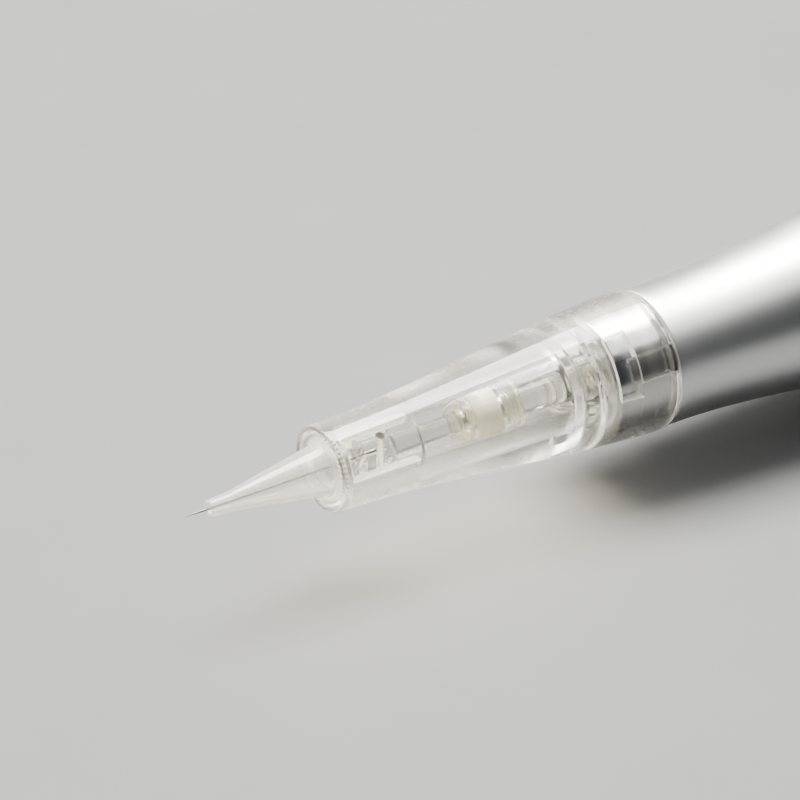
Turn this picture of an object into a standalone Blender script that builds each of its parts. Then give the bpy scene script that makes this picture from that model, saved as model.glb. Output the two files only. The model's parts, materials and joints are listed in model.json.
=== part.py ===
"""Permanent makeup machine, lying on its side with its needle cartridge fitted.

The tool is modelled upright along its own axis, with the needle up and zero at
the rear rim of the cartridge's collar. The empty tool_axis then lays it down:
the needle points towards -X and the tool rests on Z = 0.
"""

import bpy
import bmesh
from math import cos, sin, pi, radians
from mathutils import Matrix

# Fits and finishes shared by all pieces
SEAT_GAP = 0.0003
FIT_GAP = 0.00015
RUNNING_GAP = 0.0001
CUT_OVERRUN = 0.001
EDGE_ROUND = 0.0003
MERGE = 0.00001
SHARP_EDGE = radians(35)

# Facets round a turned piece
SHELL_SIDES = 32
BARREL_SIDES = 20
INNER_SIDES = 16
PIN_SIDES = 12

# Cartridge body: a clear barrel that swells into the bayonet collar
CARTRIDGE_LENGTH = 0.0382
FRONT_RADIUS = 0.00452
FRONT_ROUND = 0.0005
COLLAR_RADIUS = 0.0075
COLLAR_WALL = 0.00115
COLLAR_DEPTH = 0.0086
BARREL_BORE = 0.0027
FRONT_WALL = 0.00057
SWELL_SHARE = 2.6
BARREL_STATION_SHARES = (0.1, 0.25, 0.4, 0.55, 0.7, 0.85)

# Bayonet: windows and grooves in the collar, lugs on the spigot
BAYONET_ANGLE = radians(-56.1)
WINDOW_SPAN = radians(57)
WINDOW_HEIGHT = 0.0026
WINDOW_INSET = 0.0017
LUG_SPAN = radians(21)
LUG_HEIGHT = 0.0005
LUG_PLAY = radians(1.5)
GROOVE_PLAY = radians(1.25)
UNLOCK_TWIST = radians(22.5)

# Castellated guide ring between collar and barrel
RING_SEAT_DEPTH = 0.002
RING_LENGTH = 0.0031
RING_STEP = 0.0013
RING_EDGE = 0.0002
RING_NOTCHES = 8
RING_NOTCH_WIDTH = 0.0013
RING_NOTCH_DEPTH = 0.0009
RING_RIM = 0.0004

# Nozzle
NOZZLE_REACH = 0.0128
MOUTH_RADIUS = 0.00085
MOUTH_WALL = 0.0003
ROOT_RADIUS = 0.00272
NOZZLE_WALL = 0.00055
FLANGE_THICKNESS = 0.0008
FLANGE_STEP = 0.0007
SLEEVE_WALL = 0.0007
SLEEVE_DEPTH = 0.0095
NOZZLE_REACH_SHARES = (0.883, 0.805, 0.742, 0.453)
NOZZLE_SWELL_SHARES = (0.053, 0.091, 0.166, 0.492)

# Needle, its clear bar and the silicone seals on it
NEEDLE_RADIUS = 0.000125
NEEDLE_OUT = 0.00276
NEEDLE_TAPER = 0.0024
NEEDLE_POINT = 0.00002
NEEDLE_GRIP = 0.0029
NEEDLE_BORE_GAP = 0.00006
BOSS_INSET = 0.0039
BOSS_LENGTH = 0.0033
BOSS_PLAY = 0.0002
GLUE_PORT_RADIUS = 0.00045
GLUE_PORT_PLACE = 0.0012
BAR_RADIUS = 0.0011
TAIL_RADIUS = 0.00155
HEAD_RADIUS = 0.0024
HEAD_LENGTH = 0.0035
SEAL_PLAY = 0.0002
RIBBED_SEAL_LENGTH = 0.0022
PLUG_LENGTH = 0.0024
BEAD_LENGTH = 0.0011
SEAL_LIP = 0.0005
SEAL_WAIST = 0.0005
SEAL_START_SHARE = 0.4
SEAL_BEVEL = 0.0005

# Motion
STROKE = 0.002
DEPTH_TRAVEL = 0.0025

# Drive rod, its tip and the bush in the nose
ROD_RADIUS = 0.0015
ROD_TAIL = 0.0006
TIP_INSET = 0.0002
TIP_RADIUS = 0.0022
TIP_LENGTH = 0.0031
TIP_CROWN = 0.001
TIP_PLAY = 0.0005
BUSH_WALL = 0.00135
BUSH_LIP = 0.0012
BUSH_LIP_THICKNESS = 0.0008

# Spigot and grip shell
SPIGOT_PLAY = 0.0002
SPIGOT_DEPTH = 0.008
SPIGOT_LEAD = 0.0004
NECK_STEP = 0.0002
NECK_LENGTH = 0.003
FLARE_LENGTH = 0.0439
FLARE_EASE_SHARE = 0.85
FLARE_STATION_SHARES = (0.1, 0.2, 0.3, 0.4, 0.5, 0.6, 0.7, 0.8, 0.9)
SHELL_WALL = 0.0015
SHOULDER_LENGTH = 0.0015
SHOULDER_STEP = 0.0007
SEAM_BEVEL = 0.0004

# Guide block and the pins that keep the follower from turning
BLOCK_PLACE = 0.0283
BLOCK_LENGTH = 0.0087
BLOCK_EDGE = 0.00055
BLOCK_BOSS_RADIUS = 0.0023
BLOCK_BOSS_LENGTH = 0.0015
BLOCK_HOLLOW = 0.0035
BLOCK_HOLLOW_RADIUS = 0.0045
CAVITY_PLACE = 0.003
GUIDE_PIN_RADIUS = 0.001
GUIDE_PIN_SEAT = 0.005
GUIDE_PIN_TAIL = 0.0005

# Return spring
SPRING_LENGTH = 0.0084
SPRING_WIRE = 0.00035
SPRING_PLAY = 0.00025
SPRING_COILS = 5
SPRING_POINTS_A_COIL = 10

# Follower plate, its stud and the clip on the rod
PLATE_THICKNESS = 0.002
STUD_REACH = 0.0025
STUD_RADIUS = 0.0009
STUD_SHANK_RADIUS = 0.0006
CLIP_RADIUS = 0.0025
CLIP_THICKNESS = 0.0007
CLIP_GAP = 0.0004
CLIP_MOUTH = 0.0012

# Swash cam on the motor shaft
CAM_EDGE = 0.0002
CAM_PLAY = 0.0004
CAM_BODY = 0.0052
CAM_HUB_LENGTH = 0.002
CAM_HUB_RADIUS = 0.003
GRUB_RADIUS = 0.0007
SHAFT_RADIUS = 0.001
SHAFT_STEP = 0.0005

# Motor
MOTOR_RADIUS = 0.008
MOTOR_LENGTH = 0.022
CAN_WALL = 0.00055
CAN_FRONT_WALL = 0.0012
CAN_BOSS_RADIUS = 0.0029
CAN_BOSS_LENGTH = 0.0012
BEARING_RADIUS = 0.0019
MAGNET_THICKNESS = 0.0015
MAGNET_SPAN = radians(130)
MAGNET_INSET = 0.0013
MAGNET_OVERHANG = 0.0005
AIR_GAP = 0.00035
ARMATURE_SLOTS = 5
ARMATURE_SLOT_WIDTH = 0.0014
ARMATURE_SLOT_DEPTH = 0.0023
COMMUTATOR_RADIUS = 0.0022
COMMUTATOR_LENGTH = 0.0028
COMMUTATOR_GAP = 0.0007
COMMUTATOR_STANDOFF = 0.0018
BRUSH_THICKNESS = 0.0015
BRUSH_WIDTH = 0.0018
BELL_THICKNESS = 0.0015
BELL_PLUG_LENGTH = 0.0019
BELL_PLUG_WALL = 0.001
BELL_BOSS_RADIUS = 0.0024
BELL_BOSS_LENGTH = 0.0007
TERMINAL_THICKNESS = 0.0005
TERMINAL_WIDTH = 0.0016
TERMINAL_LENGTH = 0.0023
TERMINAL_PLACE = 0.0045

# Carriage that holds the motor and slides in the housing
CAM_CLEARANCE = 0.0009
MOUNT_THICKNESS = 0.0018
SCREW_PLACE = 0.0055
SCREW_HEAD_RADIUS = 0.00145
SCREW_HEAD_HEIGHT = 0.001
SCREW_SHANK_RADIUS = 0.00075
SCREW_SLOT_WIDTH = 0.0005
SCREW_SLOT_DEPTH = 0.0004
CARRIAGE_WALL = 0.0017
CARRIAGE_FLOOR = 0.0011
NECK_INSET = 0.00155
TUBE_WALL = 0.0011
LUG_LENGTH = 0.003
LUG_PLACE = 0.0009
DRIVE_LUG_SPAN = radians(22)
SLOT_PLAY = radians(2)

# Rear housing, depth dial and end cap
PLUG_FIT_LENGTH = 0.0046
PLUG_WALL = 0.00165
COLLAR_LAND = 0.0015
SEAL_RING_RADIUS = 0.00045
SEAL_GROOVE_WIDTH = 0.0015
SEAL_GROOVE_PLACE = 0.0013
HOUSING_FLOOR = 0.0012
TAIL_PLAY = 0.0002
TAIL_WALL = 0.0011
TAIL_GRIP = 0.0028
DIAL_WIDTH = 0.0077
DIAL_STEP = 0.0003
DIAL_BEVEL = 0.0005
FLUTE_COUNT = 24
FLUTE_RADIUS = 0.0011
FLUTE_DEPTH = 0.0004
FLUTE_INSET = 0.0012
CAP_WALL = 0.0022
CAP_ROUND = 0.001

# Jack socket in the end cap
JACK_BORE = 0.0018
JACK_DEPTH = 0.0066
SOCKET_RADIUS = 0.0042
SOCKET_LENGTH = 0.0062
THREAD_RADIUS = 0.003
NUT_RADIUS = 0.0049
NUT_THICKNESS = 0.0008
NUT_SLOT_WIDTH = 0.001
NUT_SLOT_DEPTH = 0.0008
RECESS_PLAY = 0.0007
CONTACT_PLACE = 0.0022
CONTACT_THICKNESS = 0.0004
CONTACT_WIDTH = 0.0014
CONTACT_LENGTH = 0.0022
WIRE_RADIUS = 0.00045
WIRE_BOW = 0.0007
WIRE_POINTS = 9

# Radii that follow from the sizes above
collar_bore = COLLAR_RADIUS - COLLAR_WALL
flange_bore = FRONT_RADIUS - FRONT_WALL
flange_radius = flange_bore - FIT_GAP
sleeve_radius = flange_radius - FLANGE_STEP
sleeve_bore = sleeve_radius - SLEEVE_WALL
ring_radius = collar_bore - RING_STEP - FIT_GAP
ring_bore = BARREL_BORE + RING_EDGE
spigot_radius = collar_bore - SPIGOT_PLAY
lug_radius = spigot_radius + LUG_HEIGHT + SPIGOT_PLAY
groove_radius = lug_radius + FIT_GAP
boss_radius = sleeve_bore - BOSS_PLAY
seal_radius = BARREL_BORE - SEAL_PLAY
seal_bore = BAR_RADIUS + FIT_GAP
rod_bore = ROD_RADIUS + RUNNING_GAP
bush_radius = rod_bore + BUSH_WALL
bush_lip_radius = bush_radius + BUSH_LIP
spigot_bore = bush_lip_radius + FIT_GAP
neck_radius = COLLAR_RADIUS - NECK_STEP
stud_place = CLIP_RADIUS + CLIP_GAP + STUD_RADIUS
cam_radius = stud_place + STUD_RADIUS + CAM_EDGE
guide_pin_place = cam_radius + CAM_PLAY + GUIDE_PIN_RADIUS
plate_radius = guide_pin_place + GUIDE_PIN_RADIUS + BLOCK_EDGE
block_seat = plate_radius + FIT_GAP
spring_radius = BLOCK_BOSS_RADIUS + SPRING_PLAY + SPRING_WIRE
shaft_bore = SHAFT_RADIUS + RUNNING_GAP
can_bore = MOTOR_RADIUS - CAN_WALL
magnet_radius = can_bore * cos(pi / INNER_SIDES) - RUNNING_GAP
armature_radius = magnet_radius - MAGNET_THICKNESS - AIR_GAP
carriage_bore = MOTOR_RADIUS + FIT_GAP
carriage_radius = carriage_bore + CARRIAGE_WALL
cavity_radius = carriage_radius + FIT_GAP
grip_radius = cavity_radius + SHELL_WALL
tube_bore = carriage_bore - NECK_INSET
tube_radius = tube_bore + TUBE_WALL
tail_bore = tube_radius + TAIL_PLAY
tail_radius = tail_bore + TAIL_WALL
dial_bore = tail_radius + RUNNING_GAP
dial_radius = grip_radius - DIAL_STEP
plug_radius = cavity_radius - FIT_GAP
plug_bore = plug_radius - PLUG_WALL
cap_bore = tail_radius + FIT_GAP
socket_hole = THREAD_RADIUS + FIT_GAP
recess_radius = NUT_RADIUS + RECESS_PLAY

# Places along the axis, from the needle's tip down to the rear end
body_front = CARTRIDGE_LENGTH
nozzle_mouth = body_front + NOZZLE_REACH
needle_tip = nozzle_mouth + NEEDLE_OUT
flange_floor = body_front - FLANGE_THICKNESS - SEAT_GAP
sleeve_end = body_front - SLEEVE_DEPTH
ring_front = COLLAR_DEPTH + RING_SEAT_DEPTH - SEAT_GAP
ring_rear = ring_front - RING_LENGTH
spigot_front = ring_rear - SEAT_GAP
window_front = COLLAR_DEPTH - WINDOW_INSET
window_rear = window_front - WINDOW_HEIGHT
boss_front = body_front - BOSS_INSET
boss_rear = boss_front - BOSS_LENGTH
tip_front = spigot_front - TIP_INSET
tip_rear = tip_front - TIP_LENGTH
bar_tail = tip_front + SEAT_GAP
head_front = bar_tail + HEAD_LENGTH
seal_stack = RIBBED_SEAL_LENGTH + PLUG_LENGTH + BEAD_LENGTH + 2 * SEAT_GAP
ribbed_rear = head_front + SEAL_START_SHARE * (boss_rear - head_front - seal_stack)
plug_rear = ribbed_rear + RIBBED_SEAL_LENGTH + SEAT_GAP
bead_rear = plug_rear + PLUG_LENGTH + SEAT_GAP
bush_front = tip_rear - STROKE - DEPTH_TRAVEL - TIP_PLAY
spigot_floor = bush_front - BUSH_LIP_THICKNESS - SEAT_GAP
spigot_rear = -SPIGOT_DEPTH
shell_front = -SEAT_GAP
block_front = -BLOCK_PLACE
block_rear = block_front - BLOCK_LENGTH
cavity_front = block_rear - CAVITY_PLACE
plate_front = block_rear - SPRING_LENGTH - 2 * SEAT_GAP
plate_rear = plate_front - PLATE_THICKNESS
clip_rear = plate_rear - SEAT_GAP - CLIP_THICKNESS
rod_rear = clip_rear - ROD_TAIL
stud_tip = plate_rear - STUD_REACH
cam_middle = stud_tip - STROKE - SEAT_GAP - STROKE / 2
guide_pin_rear = plate_rear - STROKE - DEPTH_TRAVEL - GUIDE_PIN_TAIL
cam_rear = cam_middle - CAM_BODY
hub_rear = cam_rear - CAM_HUB_LENGTH
mount_front = hub_rear - CAM_CLEARANCE
mount_rear = mount_front - MOUNT_THICKNESS
can_front = mount_rear - SEAT_GAP
can_rear = can_front - MOTOR_LENGTH
can_floor = can_front - CAN_FRONT_WALL
bell_front = can_rear - SEAT_GAP
bell_rear = bell_front - BELL_THICKNESS
commutator_rear = bell_front + COMMUTATOR_STANDOFF
commutator_front = commutator_rear + COMMUTATOR_LENGTH
armature_rear = commutator_front + COMMUTATOR_GAP
magnet_front = can_floor - MAGNET_INSET
magnet_rear = armature_rear - MAGNET_OVERHANG
armature_front = magnet_front - MAGNET_OVERHANG
carriage_floor = bell_rear - SEAT_GAP
carriage_step = carriage_floor - CARRIAGE_FLOOR
housing_front = mount_front + SEAT_GAP
seam = housing_front + COLLAR_LAND
plug_front = seam + PLUG_FIT_LENGTH
shell_rear = seam + SEAT_GAP
housing_step = carriage_step - DEPTH_TRAVEL - SEAT_GAP
housing_rear = housing_step - HOUSING_FLOOR
dial_front = housing_rear - SEAT_GAP
dial_rear = dial_front - DIAL_WIDTH
lug_front = dial_front - LUG_PLACE
lug_rear = lug_front - LUG_LENGTH
cap_front = dial_rear - SEAT_GAP
tail_rear = cap_front - TAIL_GRIP
cap_floor = tail_rear - SEAT_GAP
cap_rear = cap_floor - CAP_WALL
recess_floor = cap_rear + NUT_THICKNESS + SEAT_GAP + RUNNING_GAP
socket_shoulder = cap_floor + SEAT_GAP
socket_front = socket_shoulder + SOCKET_LENGTH

AXIS_HEIGHT = grip_radius * cos(pi / SHELL_SIDES)
AXIS_SHIFT = (needle_tip + cap_rear) / 2

# Scene and collections
for leftover in list(bpy.data.objects):
    bpy.data.objects.remove(leftover, do_unlink=True)

scene = bpy.context.scene
machine = bpy.data.collections.new("permanent_makeup_machine")
cutters = bpy.data.collections.new("cutters")
scene.collection.children.link(machine)
scene.collection.children.link(cutters)

tool_axis = bpy.data.objects.new("tool_axis", None)
tool_axis.location = (AXIS_SHIFT, 0, AXIS_HEIGHT)
tool_axis.rotation_euler = (0, -pi / 2, 0)
machine.objects.link(tool_axis)


# Materials
def finish(name, colour, roughness, metallic=0.0, alpha=1.0):
    material = bpy.data.materials.new(name)
    material.use_nodes = True
    shader = material.node_tree.nodes["Principled BSDF"]
    shader.inputs["Base Color"].default_value = (*colour, 1.0)
    shader.inputs["Roughness"].default_value = roughness
    shader.inputs["Metallic"].default_value = metallic
    shader.inputs["Alpha"].default_value = alpha
    return material


CLEAR = ("clear_plastic", (0.86, 0.87, 0.84), 0.08, 0.0, 0.4)
FROSTED = ("frosted_plastic", (0.82, 0.80, 0.74), 0.35, 0.0, 0.8)
SILICONE = ("silicone", (0.85, 0.83, 0.78), 0.45, 0.0, 1.0)
SATIN = ("satin_aluminium", (0.72, 0.71, 0.69), 0.32, 1.0, 1.0)
STEEL = ("polished_steel", (0.62, 0.62, 0.61), 0.2, 1.0, 1.0)
BRONZE = ("bronze", (0.55, 0.38, 0.2), 0.4, 1.0, 1.0)
ACETAL = ("white_acetal", (0.8, 0.79, 0.75), 0.4, 0.0, 1.0)
RUBBER = ("black_rubber", (0.03, 0.03, 0.03), 0.6, 0.0, 1.0)
IRON = ("laminated_iron", (0.25, 0.25, 0.26), 0.5, 1.0, 1.0)
FERRITE = ("ferrite", (0.08, 0.08, 0.085), 0.7, 0.0, 1.0)
COPPER = ("copper", (0.72, 0.36, 0.22), 0.35, 1.0, 1.0)
DARK_PLASTIC = ("dark_plastic", (0.05, 0.05, 0.055), 0.5, 0.0, 1.0)
RED_WIRE = ("red_insulation", (0.5, 0.03, 0.03), 0.5, 0.0, 1.0)
BLACK_WIRE = ("black_insulation", (0.03, 0.03, 0.03), 0.5, 0.0, 1.0)


# Building blocks
def put(name, mesh, look=None, location=(0, 0, 0), turn=0.0):
    """Link a mesh as a piece, or as a cutter where it has no look."""
    piece = bpy.data.objects.new(name, mesh)
    piece.parent = tool_axis
    piece.location = location
    piece.rotation_euler.z = turn
    if look is None:
        cutters.objects.link(piece)
        piece.hide_render = True
        piece.display_type = "WIRE"
    else:
        machine.objects.link(piece)
        mesh.materials.append(finish(name, *look[1:]))
    return piece


def turned(name, outline, sides, look=None, closed=True):
    """Revolve an outline of (radius, height) points about the tool's axis."""
    count = len(outline)
    edges = [(index, index + 1) for index in range(count - 1)]
    if closed:
        edges.append((count - 1, 0))
    mesh = bpy.data.meshes.new(name)
    mesh.from_pydata([(radius, 0, height) for radius, height in outline], edges, [])
    piece = put(name, mesh, look, turn=pi / sides)
    screw = piece.modifiers.new("turn", "SCREW")
    screw.axis = "Z"
    screw.angle = 2 * pi
    screw.steps = sides
    screw.render_steps = sides
    screw.use_merge_vertices = True
    screw.merge_threshold = MERGE
    return piece


def arc(centre, radius, start, end, steps):
    """Points of (radius, height) along an arc, from one angle to another."""
    across, up = centre
    angles = [start + (end - start) * step / steps for step in range(steps + 1)]
    return [(across + radius * cos(angle), up + radius * sin(angle)) for angle in angles]


def prism(name, points, bottom, top, look=None):
    """A flat outline filled on both sides, from one height to another."""
    curve = bpy.data.curves.new(name, "CURVE")
    curve.dimensions = "2D"
    curve.fill_mode = "BOTH"
    curve.extrude = (top - bottom) / 2
    spline = curve.splines.new("POLY")
    spline.points.add(len(points) - 1)
    for point, (across, along) in zip(spline.points, points):
        point.co = (across, along, 0, 1)
    spline.use_cyclic_u = True
    guide = bpy.data.objects.new(name + "_outline", curve)
    scene.collection.objects.link(guide)
    mesh = solid_from(guide)
    return put(name, mesh, look, location=(0, 0, (top + bottom) / 2))


def solid_from(guide):
    """Turn a curve object into a mesh with its caps welded, and drop the curve."""
    bpy.context.view_layer.update()
    graph = bpy.context.evaluated_depsgraph_get()
    mesh = bpy.data.meshes.new_from_object(guide.evaluated_get(graph))
    shape = bmesh.new()
    shape.from_mesh(mesh)
    bmesh.ops.remove_doubles(shape, verts=shape.verts, dist=MERGE)
    bmesh.ops.recalc_face_normals(shape, faces=shape.faces)
    shape.to_mesh(mesh)
    shape.free()
    mesh.materials.clear()
    bpy.data.objects.remove(guide, do_unlink=True)
    return mesh


def sector(inner, outer, start, end, steps=8):
    """Outline of a ring's sector between two angles."""
    turns = [start + (end - start) * step / steps for step in range(steps + 1)]
    rim = [(outer * cos(turn), outer * sin(turn)) for turn in turns]
    hollow = [(inner * cos(turn), inner * sin(turn)) for turn in reversed(turns)]
    return rim + hollow


def boxes(name, size, radius, height, angles, look=None):
    """Boxes standing round the axis, their first side pointing outwards."""
    shape = bmesh.new()
    stretch = Matrix.Diagonal((*size, 1))
    for angle in angles:
        place = Matrix.Rotation(angle, 4, "Z") @ Matrix.Translation((radius, 0, height))
        bmesh.ops.create_cube(shape, size=1, matrix=place @ stretch)
    mesh = bpy.data.meshes.new(name)
    shape.to_mesh(mesh)
    shape.free()
    return put(name, mesh, look)


def pins(name, radius, bottom, top, place, angles, look=None, sides=PIN_SIDES):
    """Cylinders that stand along the axis at one distance from it."""
    shape = bmesh.new()
    for angle in angles:
        spot = Matrix.Rotation(angle, 4, "Z") @ Matrix.Translation((place, 0, (top + bottom) / 2))
        bmesh.ops.create_cone(shape, cap_ends=True, segments=sides, radius1=radius,
                              radius2=radius, depth=top - bottom, matrix=spot)
    mesh = bpy.data.meshes.new(name)
    shape.to_mesh(mesh)
    shape.free()
    return put(name, mesh, look)


def cross_pin(name, radius, inner, outer, height, angle, look=None, sides=PIN_SIDES):
    """A cylinder that points outwards from the axis, between two distances."""
    shape = bmesh.new()
    lay = Matrix.Rotation(pi / 2, 4, "Y")
    spot = Matrix.Translation(((inner + outer) / 2, 0, height))
    bmesh.ops.create_cone(shape, cap_ends=True, segments=sides, radius1=radius, radius2=radius,
                          depth=outer - inner, matrix=Matrix.Rotation(angle, 4, "Z") @ spot @ lay)
    mesh = bpy.data.meshes.new(name)
    shape.to_mesh(mesh)
    shape.free()
    return put(name, mesh, look)


def cut(piece, cutter, operation="DIFFERENCE"):
    change = piece.modifiers.new(cutter.name, "BOOLEAN")
    change.operation = operation
    change.solver = "EXACT"
    change.object = cutter


def tube(name, points, radius, look, resolution):
    """A closed round tube along a list of points."""
    curve = bpy.data.curves.new(name, "CURVE")
    curve.dimensions = "3D"
    curve.bevel_depth = radius
    curve.bevel_resolution = resolution
    curve.use_fill_caps = True
    spline = curve.splines.new("POLY")
    spline.points.add(len(points) - 1)
    for point, place in zip(spline.points, points):
        point.co = (*place, 1)
    piece = bpy.data.objects.new(name, curve)
    piece.parent = tool_axis
    machine.objects.link(piece)
    curve.materials.append(finish(name, *look[1:]))
    return piece


# Shading
def smooth_by_angle():
    """Nodes that shade a piece smooth and leave its real edges sharp."""
    nodes = bpy.data.node_groups.new("smooth_by_angle", "GeometryNodeTree")
    nodes.is_modifier = True
    nodes.interface.new_socket("Geometry", in_out="INPUT", socket_type="NodeSocketGeometry")
    nodes.interface.new_socket("Geometry", in_out="OUTPUT", socket_type="NodeSocketGeometry")
    start = nodes.nodes.new("NodeGroupInput")
    bend = nodes.nodes.new("GeometryNodeInputMeshEdgeAngle")
    corner = nodes.nodes.new("FunctionNodeCompare")
    corner.data_type = "FLOAT"
    corner.operation = "GREATER_THAN"
    corner.inputs["B"].default_value = SHARP_EDGE
    edges = nodes.nodes.new("GeometryNodeSetShadeSmooth")
    edges.domain = "EDGE"
    edges.inputs["Shade Smooth"].default_value = False
    faces = nodes.nodes.new("GeometryNodeSetShadeSmooth")
    faces.domain = "FACE"
    end = nodes.nodes.new("NodeGroupOutput")
    nodes.links.new(bend.outputs["Unsigned Angle"], corner.inputs["A"])
    nodes.links.new(corner.outputs["Result"], edges.inputs["Selection"])
    nodes.links.new(start.outputs["Geometry"], edges.inputs["Geometry"])
    nodes.links.new(edges.outputs["Geometry"], faces.inputs["Geometry"])
    nodes.links.new(faces.outputs["Geometry"], end.inputs["Geometry"])
    return nodes


def shade_pieces():
    """Shade every solid piece. Tubes along a curve are smooth already."""
    shading = smooth_by_angle()
    for piece in machine.objects:
        if piece.type == "MESH":
            piece.modifiers.new("shading", "NODES").node_group = shading


# Needle cartridge
def barrel_radius(height):
    """Outer radius of the cartridge: slim in front, swelling into the collar."""
    run = 1 - height / CARTRIDGE_LENGTH
    swell = run ** 2 * (SWELL_SHARE - (SWELL_SHARE - 1) * run)
    return FRONT_RADIUS + (COLLAR_RADIUS - FRONT_RADIUS) * swell


def lug_angles():
    """Start and end of a bayonet lug, resting at the upper end of its window."""
    end = BAYONET_ANGLE + WINDOW_SPAN / 2 - LUG_PLAY
    return end - LUG_SPAN, end


def make_cartridge_body():
    nose = arc((FRONT_RADIUS - FRONT_ROUND, body_front - FRONT_ROUND), FRONT_ROUND, pi / 2, 0, 2)
    heights = [body_front * (1 - share) for share in BARREL_STATION_SHARES]
    side = [(barrel_radius(height), height) for height in heights]
    rim = arc((COLLAR_RADIUS - EDGE_ROUND, EDGE_ROUND), EDGE_ROUND, 0, -pi / 2, 2)
    ring_bed = ring_radius + FIT_GAP
    sleeve_bed = sleeve_radius + FIT_GAP
    inside = [
        (collar_bore, 0), (collar_bore, COLLAR_DEPTH),
        (ring_bed, COLLAR_DEPTH), (ring_bed, COLLAR_DEPTH + RING_SEAT_DEPTH),
        (BARREL_BORE, COLLAR_DEPTH + RING_SEAT_DEPTH), (BARREL_BORE, sleeve_end - SEAT_GAP),
        (sleeve_bed, sleeve_end - SEAT_GAP), (sleeve_bed, flange_floor),
        (flange_bore, flange_floor), (flange_bore, body_front),
    ]
    body = turned("cartridge_body", nose + side + rim + inside, SHELL_SIDES, CLEAR)
    root = collar_bore - CUT_OVERRUN / 2
    lug_start, lug_end = lug_angles()
    groove_start = lug_start - UNLOCK_TWIST - GROOVE_PLAY
    groove_end = lug_end - UNLOCK_TWIST + GROOVE_PLAY
    for number in (1, 2):
        side_turn = pi * (number - 1)
        start = BAYONET_ANGLE - WINDOW_SPAN / 2 + side_turn
        window = sector(root, COLLAR_RADIUS + CUT_OVERRUN, start, start + WINDOW_SPAN, 6)
        groove = sector(root, groove_radius, groove_start + side_turn, groove_end + side_turn, 3)
        cut(body, prism(f"window_{number}", window, window_rear, window_front))
        middle = (window_rear + window_front) / 2
        cut(body, prism(f"groove_{number}", groove, -CUT_OVERRUN, middle))


def make_guide_ring():
    outline = [
        (ring_bore, ring_front), (ring_radius, ring_front), (ring_radius, ring_rear),
        (ring_bore, ring_rear),
    ]
    ring = turned("guide_ring", outline, BARREL_SIDES, CLEAR)
    depth = RING_NOTCH_DEPTH + CUT_OVERRUN
    length = RING_LENGTH - RING_RIM + CUT_OVERRUN
    size = (depth, RING_NOTCH_WIDTH, length)
    radius = ring_radius - RING_NOTCH_DEPTH + depth / 2
    height = ring_front - RING_RIM - length / 2
    angles = [2 * pi * index / RING_NOTCHES for index in range(RING_NOTCHES)]
    cut(ring, boxes("ring_notches", size, radius, height, angles))


def make_nozzle_tip():
    outer = []
    inner = []
    for reach, swell in zip(NOZZLE_REACH_SHARES, NOZZLE_SWELL_SHARES):
        radius = MOUTH_RADIUS + (ROOT_RADIUS - MOUTH_RADIUS) * swell
        wall = MOUTH_WALL + (NOZZLE_WALL - MOUTH_WALL) * swell
        outer.append((radius, body_front + NOZZLE_REACH * reach))
        inner.append((radius - wall, body_front + NOZZLE_REACH * reach))
    lip = arc((MOUTH_RADIUS - MOUTH_WALL / 2, nozzle_mouth - MOUTH_WALL / 2), MOUTH_WALL / 2, pi, 0, 2)
    flange_rear = body_front - FLANGE_THICKNESS
    seat = [
        (ROOT_RADIUS, body_front), (flange_radius, body_front), (flange_radius, flange_rear),
        (sleeve_radius, flange_rear), (sleeve_radius, sleeve_end), (sleeve_bore, sleeve_end),
        (sleeve_bore, flange_rear - FLANGE_THICKNESS), (ROOT_RADIUS - NOZZLE_WALL, body_front),
    ]
    turned("nozzle_tip", lip + outer + seat + inner[::-1], BARREL_SIDES, FROSTED)


def make_needle():
    outline = [
        (0, needle_tip), (NEEDLE_POINT, needle_tip), (NEEDLE_RADIUS, needle_tip - NEEDLE_TAPER),
        (NEEDLE_RADIUS, boss_front - NEEDLE_GRIP), (0, boss_front - NEEDLE_GRIP),
    ]
    turned("needle", outline, PIN_SIDES, STEEL, closed=False)


def make_needle_bar():
    bore = NEEDLE_RADIUS + NEEDLE_BORE_GAP
    bore_floor = boss_front - NEEDLE_GRIP - SEAT_GAP
    round_nose = arc((boss_radius - EDGE_ROUND, boss_front - EDGE_ROUND), EDGE_ROUND, pi / 2, 0, 2)
    dome = arc((HEAD_RADIUS - TIP_CROWN, bar_tail + TIP_CROWN), TIP_CROWN, 0, -pi / 2, 3)
    outline = [
        (0, bore_floor), (bore, bore_floor), (bore, boss_front), *round_nose,
        (boss_radius, boss_rear), (BAR_RADIUS, boss_rear), (BAR_RADIUS, ribbed_rear),
        (TAIL_RADIUS, ribbed_rear - SEAT_GAP), (TAIL_RADIUS, head_front),
        (HEAD_RADIUS, head_front), *dome, (0, bar_tail),
    ]
    bar = turned("needle_bar", outline, BARREL_SIDES, CLEAR, closed=False)
    place = boss_rear + GLUE_PORT_PLACE
    reach = boss_radius + CUT_OVERRUN
    cut(bar, cross_pin("glue_port", GLUE_PORT_RADIUS, -reach, reach, place, 0))


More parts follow.
